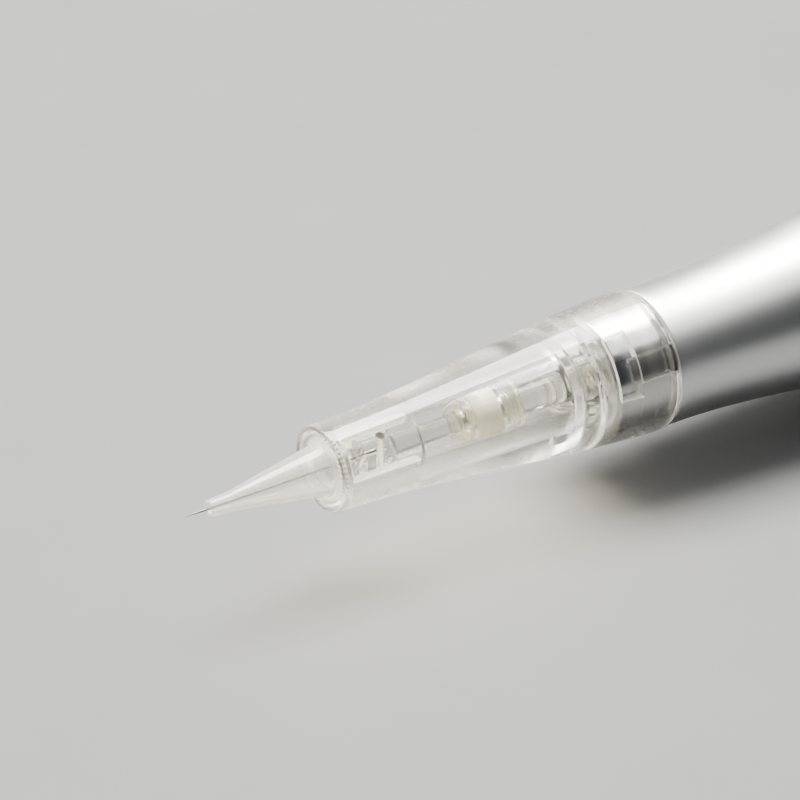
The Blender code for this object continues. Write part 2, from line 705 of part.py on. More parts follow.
def make_seals():
    bead_round = BEAD_LENGTH / 2
    crown = arc((seal_radius - bead_round, bead_rear + bead_round), bead_round, pi / 2, -pi / 2, 4)
    bead = [(seal_bore, bead_rear + BEAD_LENGTH), *crown, (seal_bore, bead_rear)]
    turned("seal_bead", bead, BARREL_SIDES, SILICONE)
    plug_front_height = plug_rear + PLUG_LENGTH
    waist = seal_radius - SEAL_WAIST
    plug = [
        (seal_bore, plug_front_height), (waist, plug_front_height),
        (seal_radius, plug_front_height - SEAL_BEVEL), (seal_radius, plug_rear), (seal_bore, plug_rear),
    ]
    turned("silicone_plug", plug, BARREL_SIDES, SILICONE)
    front = ribbed_rear + RIBBED_SEAL_LENGTH
    ribbed = [
        (seal_bore, front), (seal_radius, front), (seal_radius, front - SEAL_LIP),
        (waist, front - 2 * SEAL_LIP), (waist, ribbed_rear + 2 * SEAL_LIP),
        (seal_radius, ribbed_rear + SEAL_LIP), (seal_radius, ribbed_rear), (seal_bore, ribbed_rear),
    ]
    turned("ribbed_seal", ribbed, BARREL_SIDES, SILICONE)


# Drive rod and follower
def make_drive_tip():
    bore_top = tip_front - TIP_CROWN
    crown = arc((TIP_RADIUS - TIP_CROWN, tip_front - TIP_CROWN), TIP_CROWN, pi / 2, 0, 2)
    outline = [
        (0, tip_front), *crown, (TIP_RADIUS, tip_rear), (rod_bore, tip_rear),
        (rod_bore, bore_top), (0, bore_top),
    ]
    turned("drive_tip", outline, INNER_SIDES, ACETAL, closed=False)


def make_drive_rod():
    top = tip_front - TIP_CROWN - SEAT_GAP
    outline = [
        (0, top), (ROD_RADIUS - EDGE_ROUND, top), (ROD_RADIUS, top - EDGE_ROUND),
        (ROD_RADIUS, rod_rear), (0, rod_rear),
    ]
    turned("drive_rod", outline, INNER_SIDES, STEEL, closed=False)


def make_follower_plate():
    hub_radius = BLOCK_BOSS_RADIUS
    hub_top = plate_front + BLOCK_BOSS_LENGTH
    outline = [
        (rod_bore, hub_top), (hub_radius, hub_top), (hub_radius, plate_front),
        (plate_radius - EDGE_ROUND, plate_front), (plate_radius, plate_front - EDGE_ROUND),
        (plate_radius, plate_rear), (rod_bore, plate_rear),
    ]
    plate = turned("follower_plate", outline, INNER_SIDES, STEEL)
    bottom = plate_rear - CUT_OVERRUN
    top = plate_front + CUT_OVERRUN
    guide_hole = GUIDE_PIN_RADIUS + RUNNING_GAP
    cut(plate, pins("plate_guide_holes", guide_hole, bottom, top, guide_pin_place, (pi / 2, -pi / 2)))
    stud_hole = STUD_SHANK_RADIUS + FIT_GAP
    cut(plate, pins("plate_stud_hole", stud_hole, bottom, top, stud_place, (0,)))


def make_follower_stud():
    """A domed stud that rides on the swash face, its shank set in the plate."""
    shoulder = plate_rear - RUNNING_GAP
    centre = stud_tip + STUD_RADIUS
    outline = [
        (0, plate_front), (STUD_SHANK_RADIUS, plate_front), (STUD_SHANK_RADIUS, shoulder),
        (STUD_RADIUS, shoulder), *arc((0, centre), STUD_RADIUS, 0, -pi / 2, 3)[:-1], (0, stud_tip),
    ]
    stud = turned("follower_stud", outline, PIN_SIDES, STEEL, closed=False)
    stud.location.x = stud_place


def make_rod_clip():
    outline = [
        (rod_bore, plate_rear - SEAT_GAP), (CLIP_RADIUS, plate_rear - SEAT_GAP),
        (CLIP_RADIUS, clip_rear), (rod_bore, clip_rear),
    ]
    clip = turned("rod_clip", outline, INNER_SIDES, STEEL)
    size = (CLIP_RADIUS + CUT_OVERRUN, CLIP_MOUTH, CLIP_THICKNESS + 2 * CUT_OVERRUN)
    height = clip_rear + CLIP_THICKNESS / 2
    cut(clip, boxes("clip_mouth", size, size[0] / 2, height, (pi,)))


def make_return_spring():
    """One helix between the guide block and the follower plate."""
    length = SPRING_LENGTH - 2 * SPRING_WIRE
    count = SPRING_COILS * SPRING_POINTS_A_COIL
    points = []
    for index in range(count + 1):
        angle = 2 * pi * index / SPRING_POINTS_A_COIL
        height = plate_front + SEAT_GAP + SPRING_WIRE + length * index / count
        points.append((spring_radius * cos(angle), spring_radius * sin(angle), height))
    tube("return_spring", points, SPRING_WIRE, STEEL, 1)
    print("least gap between spring turns:", length / SPRING_COILS - 2 * SPRING_WIRE)


# Handle
def grip_profile(behind):
    """Outer radius of the grip, a distance behind the collar's rim."""
    run = min(max((behind - NECK_LENGTH) / FLARE_LENGTH, 0), 1)
    smooth = run * run * (3 - 2 * run)
    eased = FLARE_EASE_SHARE * smooth + (1 - FLARE_EASE_SHARE) * run
    return neck_radius + (grip_radius - neck_radius) * eased


def make_nose_spigot():
    bush_bed = bush_radius + FIT_GAP
    outline = [
        (spigot_bore, spigot_front), (spigot_radius - SPIGOT_LEAD, spigot_front),
        (spigot_radius, spigot_front - SPIGOT_LEAD), (spigot_radius, spigot_rear),
        (bush_bed, spigot_rear), (bush_bed, spigot_floor), (spigot_bore, spigot_floor),
    ]
    spigot = turned("nose_spigot", outline, SHELL_SIDES, STEEL)
    start, end = lug_angles()
    middle = (window_front + window_rear) / 2
    half = WINDOW_HEIGHT / 2 - SEAT_GAP
    root = (spigot_bore + spigot_radius) / 2
    for number in (1, 2):
        turn = pi * (number - 1)
        shape = sector(root, lug_radius, start + turn, end + turn, 4)
        cut(spigot, prism(f"bayonet_lug_{number}", shape, middle - half, middle + half), "UNION")


def make_front_bush():
    lip_rear = bush_front - BUSH_LIP_THICKNESS
    outline = [
        (rod_bore, bush_front), (bush_lip_radius, bush_front), (bush_lip_radius, lip_rear),
        (bush_radius, lip_rear), (bush_radius, spigot_rear), (rod_bore, spigot_rear),
    ]
    turned("front_bush", outline, INNER_SIDES, BRONZE)


def make_grip_shell():
    spigot_bed = spigot_radius + FIT_GAP
    shoulder_front = spigot_rear - SEAT_GAP
    shoulder_rear = shoulder_front - SHOULDER_LENGTH
    shoulder_bore = spigot_bed - SHOULDER_STEP
    flare = [NECK_LENGTH + FLARE_LENGTH * share for share in FLARE_STATION_SHARES]
    outside = [(grip_profile(behind), -behind) for behind in flare]
    outline = [
        (spigot_bed, shell_front), (neck_radius - EDGE_ROUND, shell_front),
        (neck_radius, shell_front - EDGE_ROUND), (neck_radius, -NECK_LENGTH), *outside,
        (grip_radius, -NECK_LENGTH - FLARE_LENGTH), (grip_radius, shell_rear + SEAM_BEVEL),
        (grip_radius - SEAM_BEVEL, shell_rear), (cavity_radius, shell_rear),
        (cavity_radius, cavity_front), (block_seat, cavity_front), (block_seat, block_front + SEAT_GAP),
        (spigot_bed, block_front + SEAT_GAP), (spigot_bed, shoulder_rear),
        (shoulder_bore, shoulder_rear), (shoulder_bore, shoulder_front), (spigot_bed, shoulder_front),
    ]
    turned("grip_shell", outline, SHELL_SIDES, SATIN)


def make_guide_block():
    boss_end = block_rear - BLOCK_BOSS_LENGTH
    hollow_floor = block_front - BLOCK_HOLLOW
    outline = [
        (BLOCK_HOLLOW_RADIUS, block_front), (plate_radius, block_front), (plate_radius, block_rear),
        (BLOCK_BOSS_RADIUS, block_rear), (BLOCK_BOSS_RADIUS, boss_end), (rod_bore, boss_end),
        (rod_bore, hollow_floor), (BLOCK_HOLLOW_RADIUS, hollow_floor),
    ]
    block = turned("guide_block", outline, INNER_SIDES, ACETAL)
    floor = block_rear + GUIDE_PIN_SEAT + SEAT_GAP
    hole = GUIDE_PIN_RADIUS + FIT_GAP
    bottom = block_rear - CUT_OVERRUN
    cut(block, pins("block_pin_holes", hole, bottom, floor, guide_pin_place, (pi / 2, -pi / 2)))


def make_guide_pins():
    top = block_rear + GUIDE_PIN_SEAT
    for number, angle in ((1, pi / 2), (2, -pi / 2)):
        pins(f"guide_pin_{number}", GUIDE_PIN_RADIUS, guide_pin_rear, top, guide_pin_place, (angle,), STEEL)


def make_rear_housing():
    groove_front = plug_front - SEAL_GROOVE_PLACE
    groove_rear = groove_front - SEAL_GROOVE_WIDTH
    groove_floor = plug_radius - 2 * SEAL_RING_RADIUS - RUNNING_GAP
    outline = [
        (plug_bore, plug_front), (plug_radius - EDGE_ROUND, plug_front),
        (plug_radius, plug_front - EDGE_ROUND), (plug_radius, groove_front),
        (groove_floor, groove_front), (groove_floor, groove_rear), (plug_radius, groove_rear),
        (plug_radius, seam), (grip_radius - SEAM_BEVEL, seam), (grip_radius, seam - SEAM_BEVEL),
        (grip_radius, housing_rear + SEAM_BEVEL), (grip_radius - SEAM_BEVEL, housing_rear),
        (tail_radius, housing_rear), (tail_radius, tail_rear), (tail_bore, tail_rear),
        (tail_bore, housing_step), (cavity_radius, housing_step), (cavity_radius, housing_front),
        (plug_bore, housing_front),
    ]
    housing = turned("rear_housing", outline, SHELL_SIDES, SATIN)
    reach = DRIVE_LUG_SPAN / 2 + SLOT_PLAY
    inner = tail_bore - CUT_OVERRUN
    outer = (tail_radius + dial_radius) / 2
    slot_rear = lug_rear - DEPTH_TRAVEL - SEAT_GAP
    for number in (1, 2):
        turn = pi * (number - 1)
        slot = sector(inner, outer, turn - reach, turn + reach, 4)
        cut(housing, prism(f"carriage_slot_{number}", slot, slot_rear, lug_front + SEAT_GAP))


def make_housing_seal():
    middle = plug_front - SEAL_GROOVE_PLACE - SEAL_GROOVE_WIDTH / 2
    centre = (plug_radius - SEAL_RING_RADIUS, middle)
    turned("housing_seal_ring", arc(centre, SEAL_RING_RADIUS, pi / 2, -3 * pi / 2, 6)[:-1],
           SHELL_SIDES, RUBBER)


# Motor, its carriage and the cam
def make_swash_cam():
    """A drum whose front face leans so that one turn lifts and lowers the stud."""
    top = cam_middle + STROKE
    outline = [
        (shaft_bore, top), (cam_radius, top), (cam_radius, cam_rear), (CAM_HUB_RADIUS, cam_rear),
        (CAM_HUB_RADIUS, hub_rear), (shaft_bore, hub_rear),
    ]
    cam = turned("swash_cam", outline, INNER_SIDES, STEEL)
    lean = STROKE / 2 / stud_place
    block = 4 * cam_radius
    tilt = Matrix(((1, 0, 0, 0), (0, 1, 0, 0), (lean, 0, 1, cam_middle), (0, 0, 0, 1)))
    shape = bmesh.new()
    lift = Matrix.Translation((0, 0, block / 2)) @ Matrix.Diagonal((block, block, block, 1))
    bmesh.ops.create_cube(shape, size=1, matrix=tilt @ lift)
    mesh = bpy.data.meshes.new("swash_face")
    shape.to_mesh(mesh)
    shape.free()
    cut(cam, put("swash_face", mesh))
    middle = (cam_rear + hub_rear) / 2
    hole = cross_pin("grub_hole", GRUB_RADIUS + FIT_GAP, 0, CAM_HUB_RADIUS + CUT_OVERRUN, middle, 0)
    cut(cam, hole)
    cross_pin("cam_grub_screw", GRUB_RADIUS, shaft_bore + RUNNING_GAP, CAM_HUB_RADIUS, middle, 0, STEEL)


def make_rotor():
    shaft_front = cam_middle - SHAFT_STEP
    shaft_rear = bell_rear + SEAT_GAP
    shaft = [(0, shaft_front), (SHAFT_RADIUS, shaft_front), (SHAFT_RADIUS, shaft_rear), (0, shaft_rear)]
    turned("motor_shaft", shaft, INNER_SIDES, STEEL, closed=False)
    core = [
        (shaft_bore, armature_front), (armature_radius, armature_front),
        (armature_radius, armature_rear), (shaft_bore, armature_rear),
    ]
    armature = turned("armature", core, INNER_SIDES, IRON)
    length = armature_front - armature_rear
    size = (ARMATURE_SLOT_DEPTH + CUT_OVERRUN, ARMATURE_SLOT_WIDTH, length + 2 * CUT_OVERRUN)
    radius = armature_radius - ARMATURE_SLOT_DEPTH + size[0] / 2
    angles = [2 * pi * index / ARMATURE_SLOTS for index in range(ARMATURE_SLOTS)]
    middle = (armature_front + armature_rear) / 2
    cut(armature, boxes("armature_slots", size, radius, middle, angles))
    drum = [
        (shaft_bore, commutator_front), (COMMUTATOR_RADIUS, commutator_front),
        (COMMUTATOR_RADIUS, commutator_rear), (shaft_bore, commutator_rear),
    ]
    turned("commutator", drum, INNER_SIDES, COPPER)


def make_motor_can():
    boss_top = can_front + CAN_BOSS_LENGTH
    bearing_bed = BEARING_RADIUS + RUNNING_GAP
    outline = [
        (bearing_bed, boss_top), (CAN_BOSS_RADIUS, boss_top), (CAN_BOSS_RADIUS, can_front),
        (MOTOR_RADIUS - SEAM_BEVEL, can_front), (MOTOR_RADIUS, can_front - SEAM_BEVEL),
        (MOTOR_RADIUS, can_rear), (can_bore, can_rear), (can_bore, can_floor), (bearing_bed, can_floor),
    ]
    can = turned("motor_can", outline, INNER_SIDES, STEEL)
    hole = SCREW_SHANK_RADIUS + RUNNING_GAP
    bottom = can_floor - CUT_OVERRUN
    top = can_front + CUT_OVERRUN
    cut(can, pins("can_screw_holes", hole, bottom, top, SCREW_PLACE, (0, pi)))
    bearing = [
        (shaft_bore, boss_top), (BEARING_RADIUS, boss_top), (BEARING_RADIUS, can_floor),
        (shaft_bore, can_floor),
    ]
    turned("motor_bearing", bearing, INNER_SIDES, BRONZE)
    half = MAGNET_SPAN / 2
    for number, middle in ((1, 0), (2, pi)):
        shape = sector(magnet_radius - MAGNET_THICKNESS, magnet_radius, middle - half, middle + half, 10)
        prism(f"magnet_{number}", shape, magnet_rear, magnet_front, FERRITE)


def make_end_bell():
    plug_outer = can_bore - FIT_GAP
    plug_inner = plug_outer - BELL_PLUG_WALL
    plug_top = can_rear + BELL_PLUG_LENGTH
    boss_top = bell_front + BELL_BOSS_LENGTH
    outline = [
        (plug_inner, plug_top), (plug_outer, plug_top), (plug_outer, bell_front),
        (MOTOR_RADIUS, bell_front), (MOTOR_RADIUS, bell_rear), (shaft_bore, bell_rear),
        (shaft_bore, boss_top), (BELL_BOSS_RADIUS, boss_top), (BELL_BOSS_RADIUS, bell_front),
        (plug_inner, bell_front),
    ]
    turned("end_bell", outline, INNER_SIDES, DARK_PLASTIC)
    inner = COMMUTATOR_RADIUS + RUNNING_GAP
    outer = plug_inner + BELL_PLUG_WALL / 2
    height = plug_top + RUNNING_GAP + BRUSH_THICKNESS / 2
    size = (outer - inner, BRUSH_WIDTH, BRUSH_THICKNESS)
    for number, angle in ((1, pi / 2), (2, -pi / 2)):
        boxes(f"brush_{number}", size, (inner + outer) / 2, height, (angle,), COPPER)
        tab = (TERMINAL_THICKNESS, TERMINAL_WIDTH, TERMINAL_LENGTH)
        place = bell_rear - SEAT_GAP - TERMINAL_LENGTH / 2
        boxes(f"motor_terminal_{number}", tab, TERMINAL_PLACE, place, (angle,), COPPER)


def make_motor_mount():
    boss_hole = CAN_BOSS_RADIUS + FIT_GAP
    outline = [
        (boss_hole, mount_front), (carriage_radius, mount_front), (carriage_radius, mount_rear),
        (boss_hole, mount_rear),
    ]
    mount = turned("motor_mount", outline, INNER_SIDES, SATIN)
    bottom = mount_rear - CUT_OVERRUN
    top = mount_front + CUT_OVERRUN
    hole = SCREW_SHANK_RADIUS + FIT_GAP
    cut(mount, pins("mount_screw_holes", hole, bottom, top, SCREW_PLACE, (0, pi)))
    seat = mount_front + RUNNING_GAP
    head_top = seat + SCREW_HEAD_HEIGHT
    outline = [
        (0, head_top), (SCREW_HEAD_RADIUS - EDGE_ROUND, head_top),
        (SCREW_HEAD_RADIUS, head_top - EDGE_ROUND), (SCREW_HEAD_RADIUS, seat),
        (SCREW_SHANK_RADIUS, seat), (SCREW_SHANK_RADIUS, can_floor), (0, can_floor),
    ]
    slot = (2 * SCREW_HEAD_RADIUS + CUT_OVERRUN, SCREW_SLOT_WIDTH, 2 * SCREW_SLOT_DEPTH)
    slots = boxes("screw_slots", slot, SCREW_PLACE, head_top, (0, pi))
    for number, place in ((1, SCREW_PLACE), (2, -SCREW_PLACE)):
        screw = turned(f"mount_screw_{number}", outline, PIN_SIDES, STEEL, closed=False)
        screw.location.x = place
        cut(screw, slots)


def make_carriage_sleeve():
    top = mount_rear - SEAT_GAP
    tube_rear = lug_rear - RUNNING_GAP
    outline = [
        (carriage_bore, top), (carriage_radius, top), (carriage_radius, carriage_step),
        (tube_radius, carriage_step), (tube_radius, tube_rear), (tube_bore, tube_rear),
        (tube_bore, carriage_floor), (carriage_bore, carriage_floor),
    ]
    sleeve = turned("carriage_sleeve", outline, INNER_SIDES, SATIN)
    half = DRIVE_LUG_SPAN / 2
    root = (tube_bore + tube_radius) / 2
    for number in (1, 2):
        turn = pi * (number - 1)
        shape = sector(root, tail_radius, turn - half, turn + half, 4)
        cut(sleeve, prism(f"carriage_lug_{number}", shape, lug_rear, lug_front), "UNION")


# Depth dial, end cap and socket
def make_depth_dial():
    outline = [
        (dial_bore, dial_front), (dial_radius - DIAL_BEVEL, dial_front),
        (dial_radius, dial_front - DIAL_BEVEL), (dial_radius, dial_rear + DIAL_BEVEL),
        (dial_radius - DIAL_BEVEL, dial_rear), (dial_bore, dial_rear),
    ]
    dial = turned("depth_dial", outline, SHELL_SIDES, SATIN)
    place = dial_radius + FLUTE_RADIUS - FLUTE_DEPTH
    angles = [2 * pi * index / FLUTE_COUNT for index in range(FLUTE_COUNT)]
    bottom = dial_rear - CUT_OVERRUN
    top = dial_front - FLUTE_INSET
    cut(dial, pins("dial_flutes", FLUTE_RADIUS, bottom, top, place, angles))


def make_end_cap():
    corner = arc((dial_radius - CAP_ROUND, cap_rear + CAP_ROUND), CAP_ROUND, 0, -pi / 2, 3)
    outline = [
        (cap_bore, cap_front), (dial_radius - DIAL_BEVEL, cap_front),
        (dial_radius, cap_front - DIAL_BEVEL), *corner, (recess_radius, cap_rear),
        (recess_radius, recess_floor), (socket_hole, recess_floor), (socket_hole, cap_floor),
        (cap_bore, cap_floor),
    ]
    turned("end_cap", outline, SHELL_SIDES, SATIN)


def make_socket():
    thread_rear = cap_rear + RUNNING_GAP
    bore_floor = thread_rear + JACK_DEPTH
    outline = [
        (0, socket_front), (SOCKET_RADIUS, socket_front), (SOCKET_RADIUS, socket_shoulder),
        (THREAD_RADIUS, socket_shoulder), (THREAD_RADIUS, thread_rear), (JACK_BORE, thread_rear),
        (JACK_BORE, bore_floor), (0, bore_floor),
    ]
    turned("jack_socket", outline, INNER_SIDES, DARK_PLASTIC, closed=False)
    nut_front = recess_floor - SEAT_GAP
    nut_rear = nut_front - NUT_THICKNESS
    nut_bore = THREAD_RADIUS + FIT_GAP
    ring = [(nut_bore, nut_front), (NUT_RADIUS, nut_front), (NUT_RADIUS, nut_rear), (nut_bore, nut_rear)]
    nut = turned("socket_nut", ring, INNER_SIDES, STEEL)
    size = (2 * NUT_SLOT_DEPTH, NUT_SLOT_WIDTH, NUT_THICKNESS + 2 * CUT_OVERRUN)
    middle = (nut_front + nut_rear) / 2
    cut(nut, boxes("nut_slots", size, NUT_RADIUS, middle, (pi / 2, -pi / 2)))
    for number, angle in ((1, pi / 2), (2, -pi / 2)):
        tab = (CONTACT_THICKNESS, CONTACT_WIDTH, CONTACT_LENGTH)
        place = socket_front + RUNNING_GAP + CONTACT_LENGTH / 2
        boxes(f"socket_contact_{number}", tab, CONTACT_PLACE, place, (angle,), COPPER)


def make_lead_wires():
    """Two short leads that bow outwards from the motor's tabs to the socket's."""
    start = bell_rear - 2 * SEAT_GAP - TERMINAL_LENGTH
    end = socket_front + RUNNING_GAP + CONTACT_LENGTH + SEAT_GAP
    for number, side, look in ((1, 1, RED_WIRE), (2, -1, BLACK_WIRE)):
        points = []
        for index in range(WIRE_POINTS):
            run = index / (WIRE_POINTS - 1)
            smooth = run * run * (3 - 2 * run)
            out = TERMINAL_PLACE + (CONTACT_PLACE - TERMINAL_PLACE) * smooth
            bow = WIRE_BOW * sin(pi * run) ** 2
            points.append((bow * side, side * out, start + (end - start) * run))
        tube(f"lead_wire_{number}", points, WIRE_RADIUS, look, 2)


make_cartridge_body()
make_guide_ring()
make_nozzle_tip()
make_needle()
make_needle_bar()
make_seals()
make_drive_tip()
make_drive_rod()
make_follower_plate()
make_follower_stud()
make_rod_clip()
make_return_spring()
make_nose_spigot()
make_front_bush()
make_grip_shell()
make_guide_block()
make_guide_pins()
make_rear_housing()
make_housing_seal()
make_swash_cam()
make_rotor()
make_motor_can()
make_end_bell()
make_motor_mount()
make_carriage_sleeve()
make_depth_dial()
make_end_cap()
make_socket()
make_lead_wires()
shade_pieces()
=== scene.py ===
# %% [markdown]
# # Dressing a permanent makeup machine
# The tool is a slim electric pen. A clear, single-use needle cartridge plugs into a satin
# aluminium handle that hides the motor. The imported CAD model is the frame: it says where every
# piece is and what it moves with. This script adds the looks, piece by piece, in small cells.

import json
from math import cos, pi, radians, sin

import bmesh
import bpy
import numpy as np
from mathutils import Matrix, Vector

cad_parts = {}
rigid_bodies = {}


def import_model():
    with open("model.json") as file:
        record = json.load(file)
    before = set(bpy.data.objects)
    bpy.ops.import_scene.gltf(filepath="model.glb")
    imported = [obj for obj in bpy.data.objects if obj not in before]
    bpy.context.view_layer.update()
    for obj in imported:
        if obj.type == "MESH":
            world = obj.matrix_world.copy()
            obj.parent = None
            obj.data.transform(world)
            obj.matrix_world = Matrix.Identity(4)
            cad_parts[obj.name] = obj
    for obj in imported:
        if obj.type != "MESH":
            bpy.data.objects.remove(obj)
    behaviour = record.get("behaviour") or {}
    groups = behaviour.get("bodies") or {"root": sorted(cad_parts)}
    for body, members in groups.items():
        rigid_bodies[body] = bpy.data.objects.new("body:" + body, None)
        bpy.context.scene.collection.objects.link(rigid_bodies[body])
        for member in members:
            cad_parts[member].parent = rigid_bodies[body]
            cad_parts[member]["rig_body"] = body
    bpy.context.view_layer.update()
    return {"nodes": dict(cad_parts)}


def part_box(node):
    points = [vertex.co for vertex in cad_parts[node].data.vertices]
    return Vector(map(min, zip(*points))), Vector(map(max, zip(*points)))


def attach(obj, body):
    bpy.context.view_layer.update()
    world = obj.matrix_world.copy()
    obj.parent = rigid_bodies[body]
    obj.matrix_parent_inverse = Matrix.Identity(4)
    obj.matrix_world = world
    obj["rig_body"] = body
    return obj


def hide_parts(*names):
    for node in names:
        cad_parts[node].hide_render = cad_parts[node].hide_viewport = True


for leftover in list(bpy.data.objects):
    bpy.data.objects.remove(leftover)
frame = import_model()

# %% [markdown]
# ## Measuring along the tool
# Nearly every piece of a pen is turned, so two numbers place a point: how far it is ahead of the
# clear collar's rear rim, and how far from the tool's axis. Both are in millimetres here, because
# that is how such a tool is drawn. World units would be an alternative, but 0.00452 is harder to
# read than 4.52. The rim and the axis are read from the frame.

# %% Places in millimetres
MM = 1000
rim_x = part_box("cartridge_body")[1].x
grip_low, grip_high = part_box("grip_shell")
axis_height = (grip_low.z + grip_high.z) / 2


def at(radius, angle, ahead):
    """World point at a radius, an angle round the axis from straight up, and a place along it."""
    side = radius * sin(angle) / MM
    up = radius * cos(angle) / MM
    return Vector((rim_x - ahead / MM, side, axis_height + up))


def front(node):
    """How far ahead of the rim a CAD node's front end is."""
    return (rim_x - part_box(node)[0].x) * MM


def rear(node):
    """How far ahead of the rim a CAD node's rear end is. It is below 0 behind the rim."""
    return (rim_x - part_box(node)[1].x) * MM


def half_width(node):
    """Half of a CAD node's width, across its flats."""
    low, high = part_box(node)
    return (high.y - low.y) / 2 * MM


print("needle tip:", round(front("needle"), 2), "mm ahead of the rim")
print("end cap:", round(-rear("end_cap"), 2), "mm behind it")

# %% [markdown]
# ## Turning an outline
# A turned piece is one outline swept round the axis. Blender's Screw modifier does that too, but a
# short loop gives clean poles and closed seams at once, and the same loop serves all pieces. Real
# edges are never knife sharp, so `eased` rounds each corner of the outline before it is swept: the
# thin bright line that a rounded edge catches is what makes metal and clear plastic look real.

# %% Outline helpers
TURN_SIDES = 160
EDGE_STEPS = 4
SHARP_TURN = radians(22)
AXIS_TOUCH = 1e-6


def eased(outline, size, closed=True):
    """The outline with each sharp corner cut back by up to `size` and rounded."""
    points = [Vector(point) for point in outline]
    result = []
    for index, corner in enumerate(points):
        before = points[index - 1]
        after = points[(index + 1) % len(points)]
        at_end = not closed and index in (0, len(points) - 1)
        to_before = before - corner
        to_after = after - corner
        turn = pi - to_before.angle(to_after, 0)
        if at_end or corner.x < AXIS_TOUCH or turn < SHARP_TURN:
            result.append(tuple(corner))
            continue
        reach = min(size, to_before.length * 0.45, to_after.length * 0.45)
        start = corner + to_before.normalized() * reach
        end = corner + to_after.normalized() * reach
        for step in range(EDGE_STEPS + 1):
            share = step / EDGE_STEPS
            near = start.lerp(corner, share)
            far = corner.lerp(end, share)
            result.append(tuple(near.lerp(far, share)))
    return result


def arc(centre, radius, start, end, steps=8):
    """Points of a round stretch of an outline, from one angle to another."""
    angles = np.linspace(start, end, steps + 1)
    return [(centre[0] + radius * cos(angle), centre[1] + radius * sin(angle)) for angle in angles]


def flowing(points, steps=8):
    """A smooth curve through all the points."""
    ends = [points[0], *points, points[-1]]
    result = []
    for first, second, third, fourth in zip(ends, ends[1:], ends[2:], ends[3:]):
        a, b, c, d = (np.array(point, float) for point in (first, second, third, fourth))
        for share in np.linspace(0, 1, steps, endpoint=False):
            bend = 2 * b + (c - a) * share + (2 * a - 5 * b + 4 * c - d) * share ** 2
            result.append(tuple((bend + (3 * b - a - 3 * c + d) * share ** 3) / 2))
    return [*result, tuple(points[-1])]


# %% Mesh helpers
SMOOTH_ANGLE = radians(32)


def settle(piece, smooth_angle=SMOOTH_ANGLE):
    """Closes the mesh, turns its faces outwards and smooths all but its true edges."""
    shape = bmesh.new()
    shape.from_mesh(piece.data)
    bmesh.ops.remove_doubles(shape, verts=shape.verts, dist=1e-7)
    bmesh.ops.recalc_face_normals(shape, faces=shape.faces)
    open_edges = sum(1 for edge in shape.edges if not edge.is_manifold)
    shape.to_mesh(piece.data)
    shape.free()
    piece.data.shade_smooth()
    piece.data.set_sharp_from_angle(angle=smooth_angle)
    print(f"{piece.name}: {len(piece.data.polygons)} faces, {open_edges} open edges")
    return piece


def mesh_piece(name, points, faces):
    """A mesh object with its place in its mesh."""
    mesh = bpy.data.meshes.new(name)
    mesh.from_pydata([tuple(point) for point in points], [], faces)
    piece = bpy.data.objects.new(name, mesh)
    bpy.context.scene.collection.objects.link(piece)
    return piece


def skin_rows(name, points, rows, closed):
    """Closes rows of points, each a list of point numbers, into one skin."""
    faces = []
    for near, far in zip(rows, [*rows[1:], rows[0]] if closed else rows[1:]):
        for index in range(len(near)):
            after = (index + 1) % len(near)
            corners = dict.fromkeys((near[index], near[after], far[after], far[index]))
            if len(corners) > 2:
                faces.append(tuple(corners))
    return settle(mesh_piece(name, points, faces))


def turn(name, outline, closed=True, sides=TURN_SIDES):
    """Sweeps an outline of (radius, ahead) points, in millimetres, round the tool's axis."""
    angles = np.linspace(0, 2 * pi, sides, endpoint=False)
    points = []
    rows = []
    for radius, ahead in outline:
        start = len(points)
        if radius < AXIS_TOUCH:
            points.append(at(0, 0, ahead))
            rows.append([start] * sides)
        else:
            points += [at(radius, angle, ahead) for angle in angles]
            rows.append(range(start, start + sides))
    return skin_rows(name, points, rows, closed)


def prism(name, points):
    """Closes two equal rings of points, the second after the first, into a block."""
    count = len(points) // 2
    faces = [tuple(range(count)), tuple(range(2 * count - 1, count - 1, -1))]
    for index in range(count):
        after = (index + 1) % count
        faces.append((index, after, count + after, count + index))
    return settle(mesh_piece(name, points, faces))


def wedge(name, inner, outer, start, end, back, ahead, steps=24):
    """A block between two radii and two angles: the shape of a window, a lug or a slot."""
    ring = [(outer, angle) for angle in np.linspace(start, end, steps + 1)]
    ring += [(inner, angle) for angle in np.linspace(end, start, steps + 1)]
    points = [at(radius, angle, place) for place in (back, ahead) for radius, angle in ring]
    return prism(name, points)


def wedge_pair(name, inner, outer, start, end, back, ahead, steps=24):
    """Two wedges, half a turn apart, as most cuts and lugs of this tool come."""
    return [
        wedge(f"{name}_{number}", inner, outer, start + pi * number, end + pi * number,
              back, ahead, steps)
        for number in (0, 1)
    ]


def cross_rod(name, radius, inner, outer, angle, ahead, sides=40):
    """A rod that stands across the axis, for ports and cross holes."""
    middle = at(0, 0, ahead)
    out = (at(1, angle, ahead) - middle).normalized()
    along = Vector((1, 0, 0))
    side = out.cross(along)
    return prism(name, [
        middle + out * (reach / MM) + (along * cos(turned) + side * sin(turned)) * (radius / MM)
        for reach in (inner, outer) for turned in np.linspace(0, 2 * pi, sides, endpoint=False)
    ])


def plain(piece):
    """Turns what the piece's modifiers make into its own plain mesh."""
    graph = bpy.context.evaluated_depsgraph_get()
    mesh = bpy.data.meshes.new_from_object(piece.evaluated_get(graph))
    piece.modifiers.clear()
    piece.data = mesh


def carve(piece, *tools, operation="DIFFERENCE"):
    """Cuts the tools out of a piece, or joins them to it, and leaves a plain mesh."""
    for tool in tools:
        step = piece.modifiers.new(tool.name, "BOOLEAN")
        step.operation = operation
        step.solver = "EXACT"
        step.object = tool
        plain(piece)
        bpy.data.objects.remove(tool)
    return settle(piece)


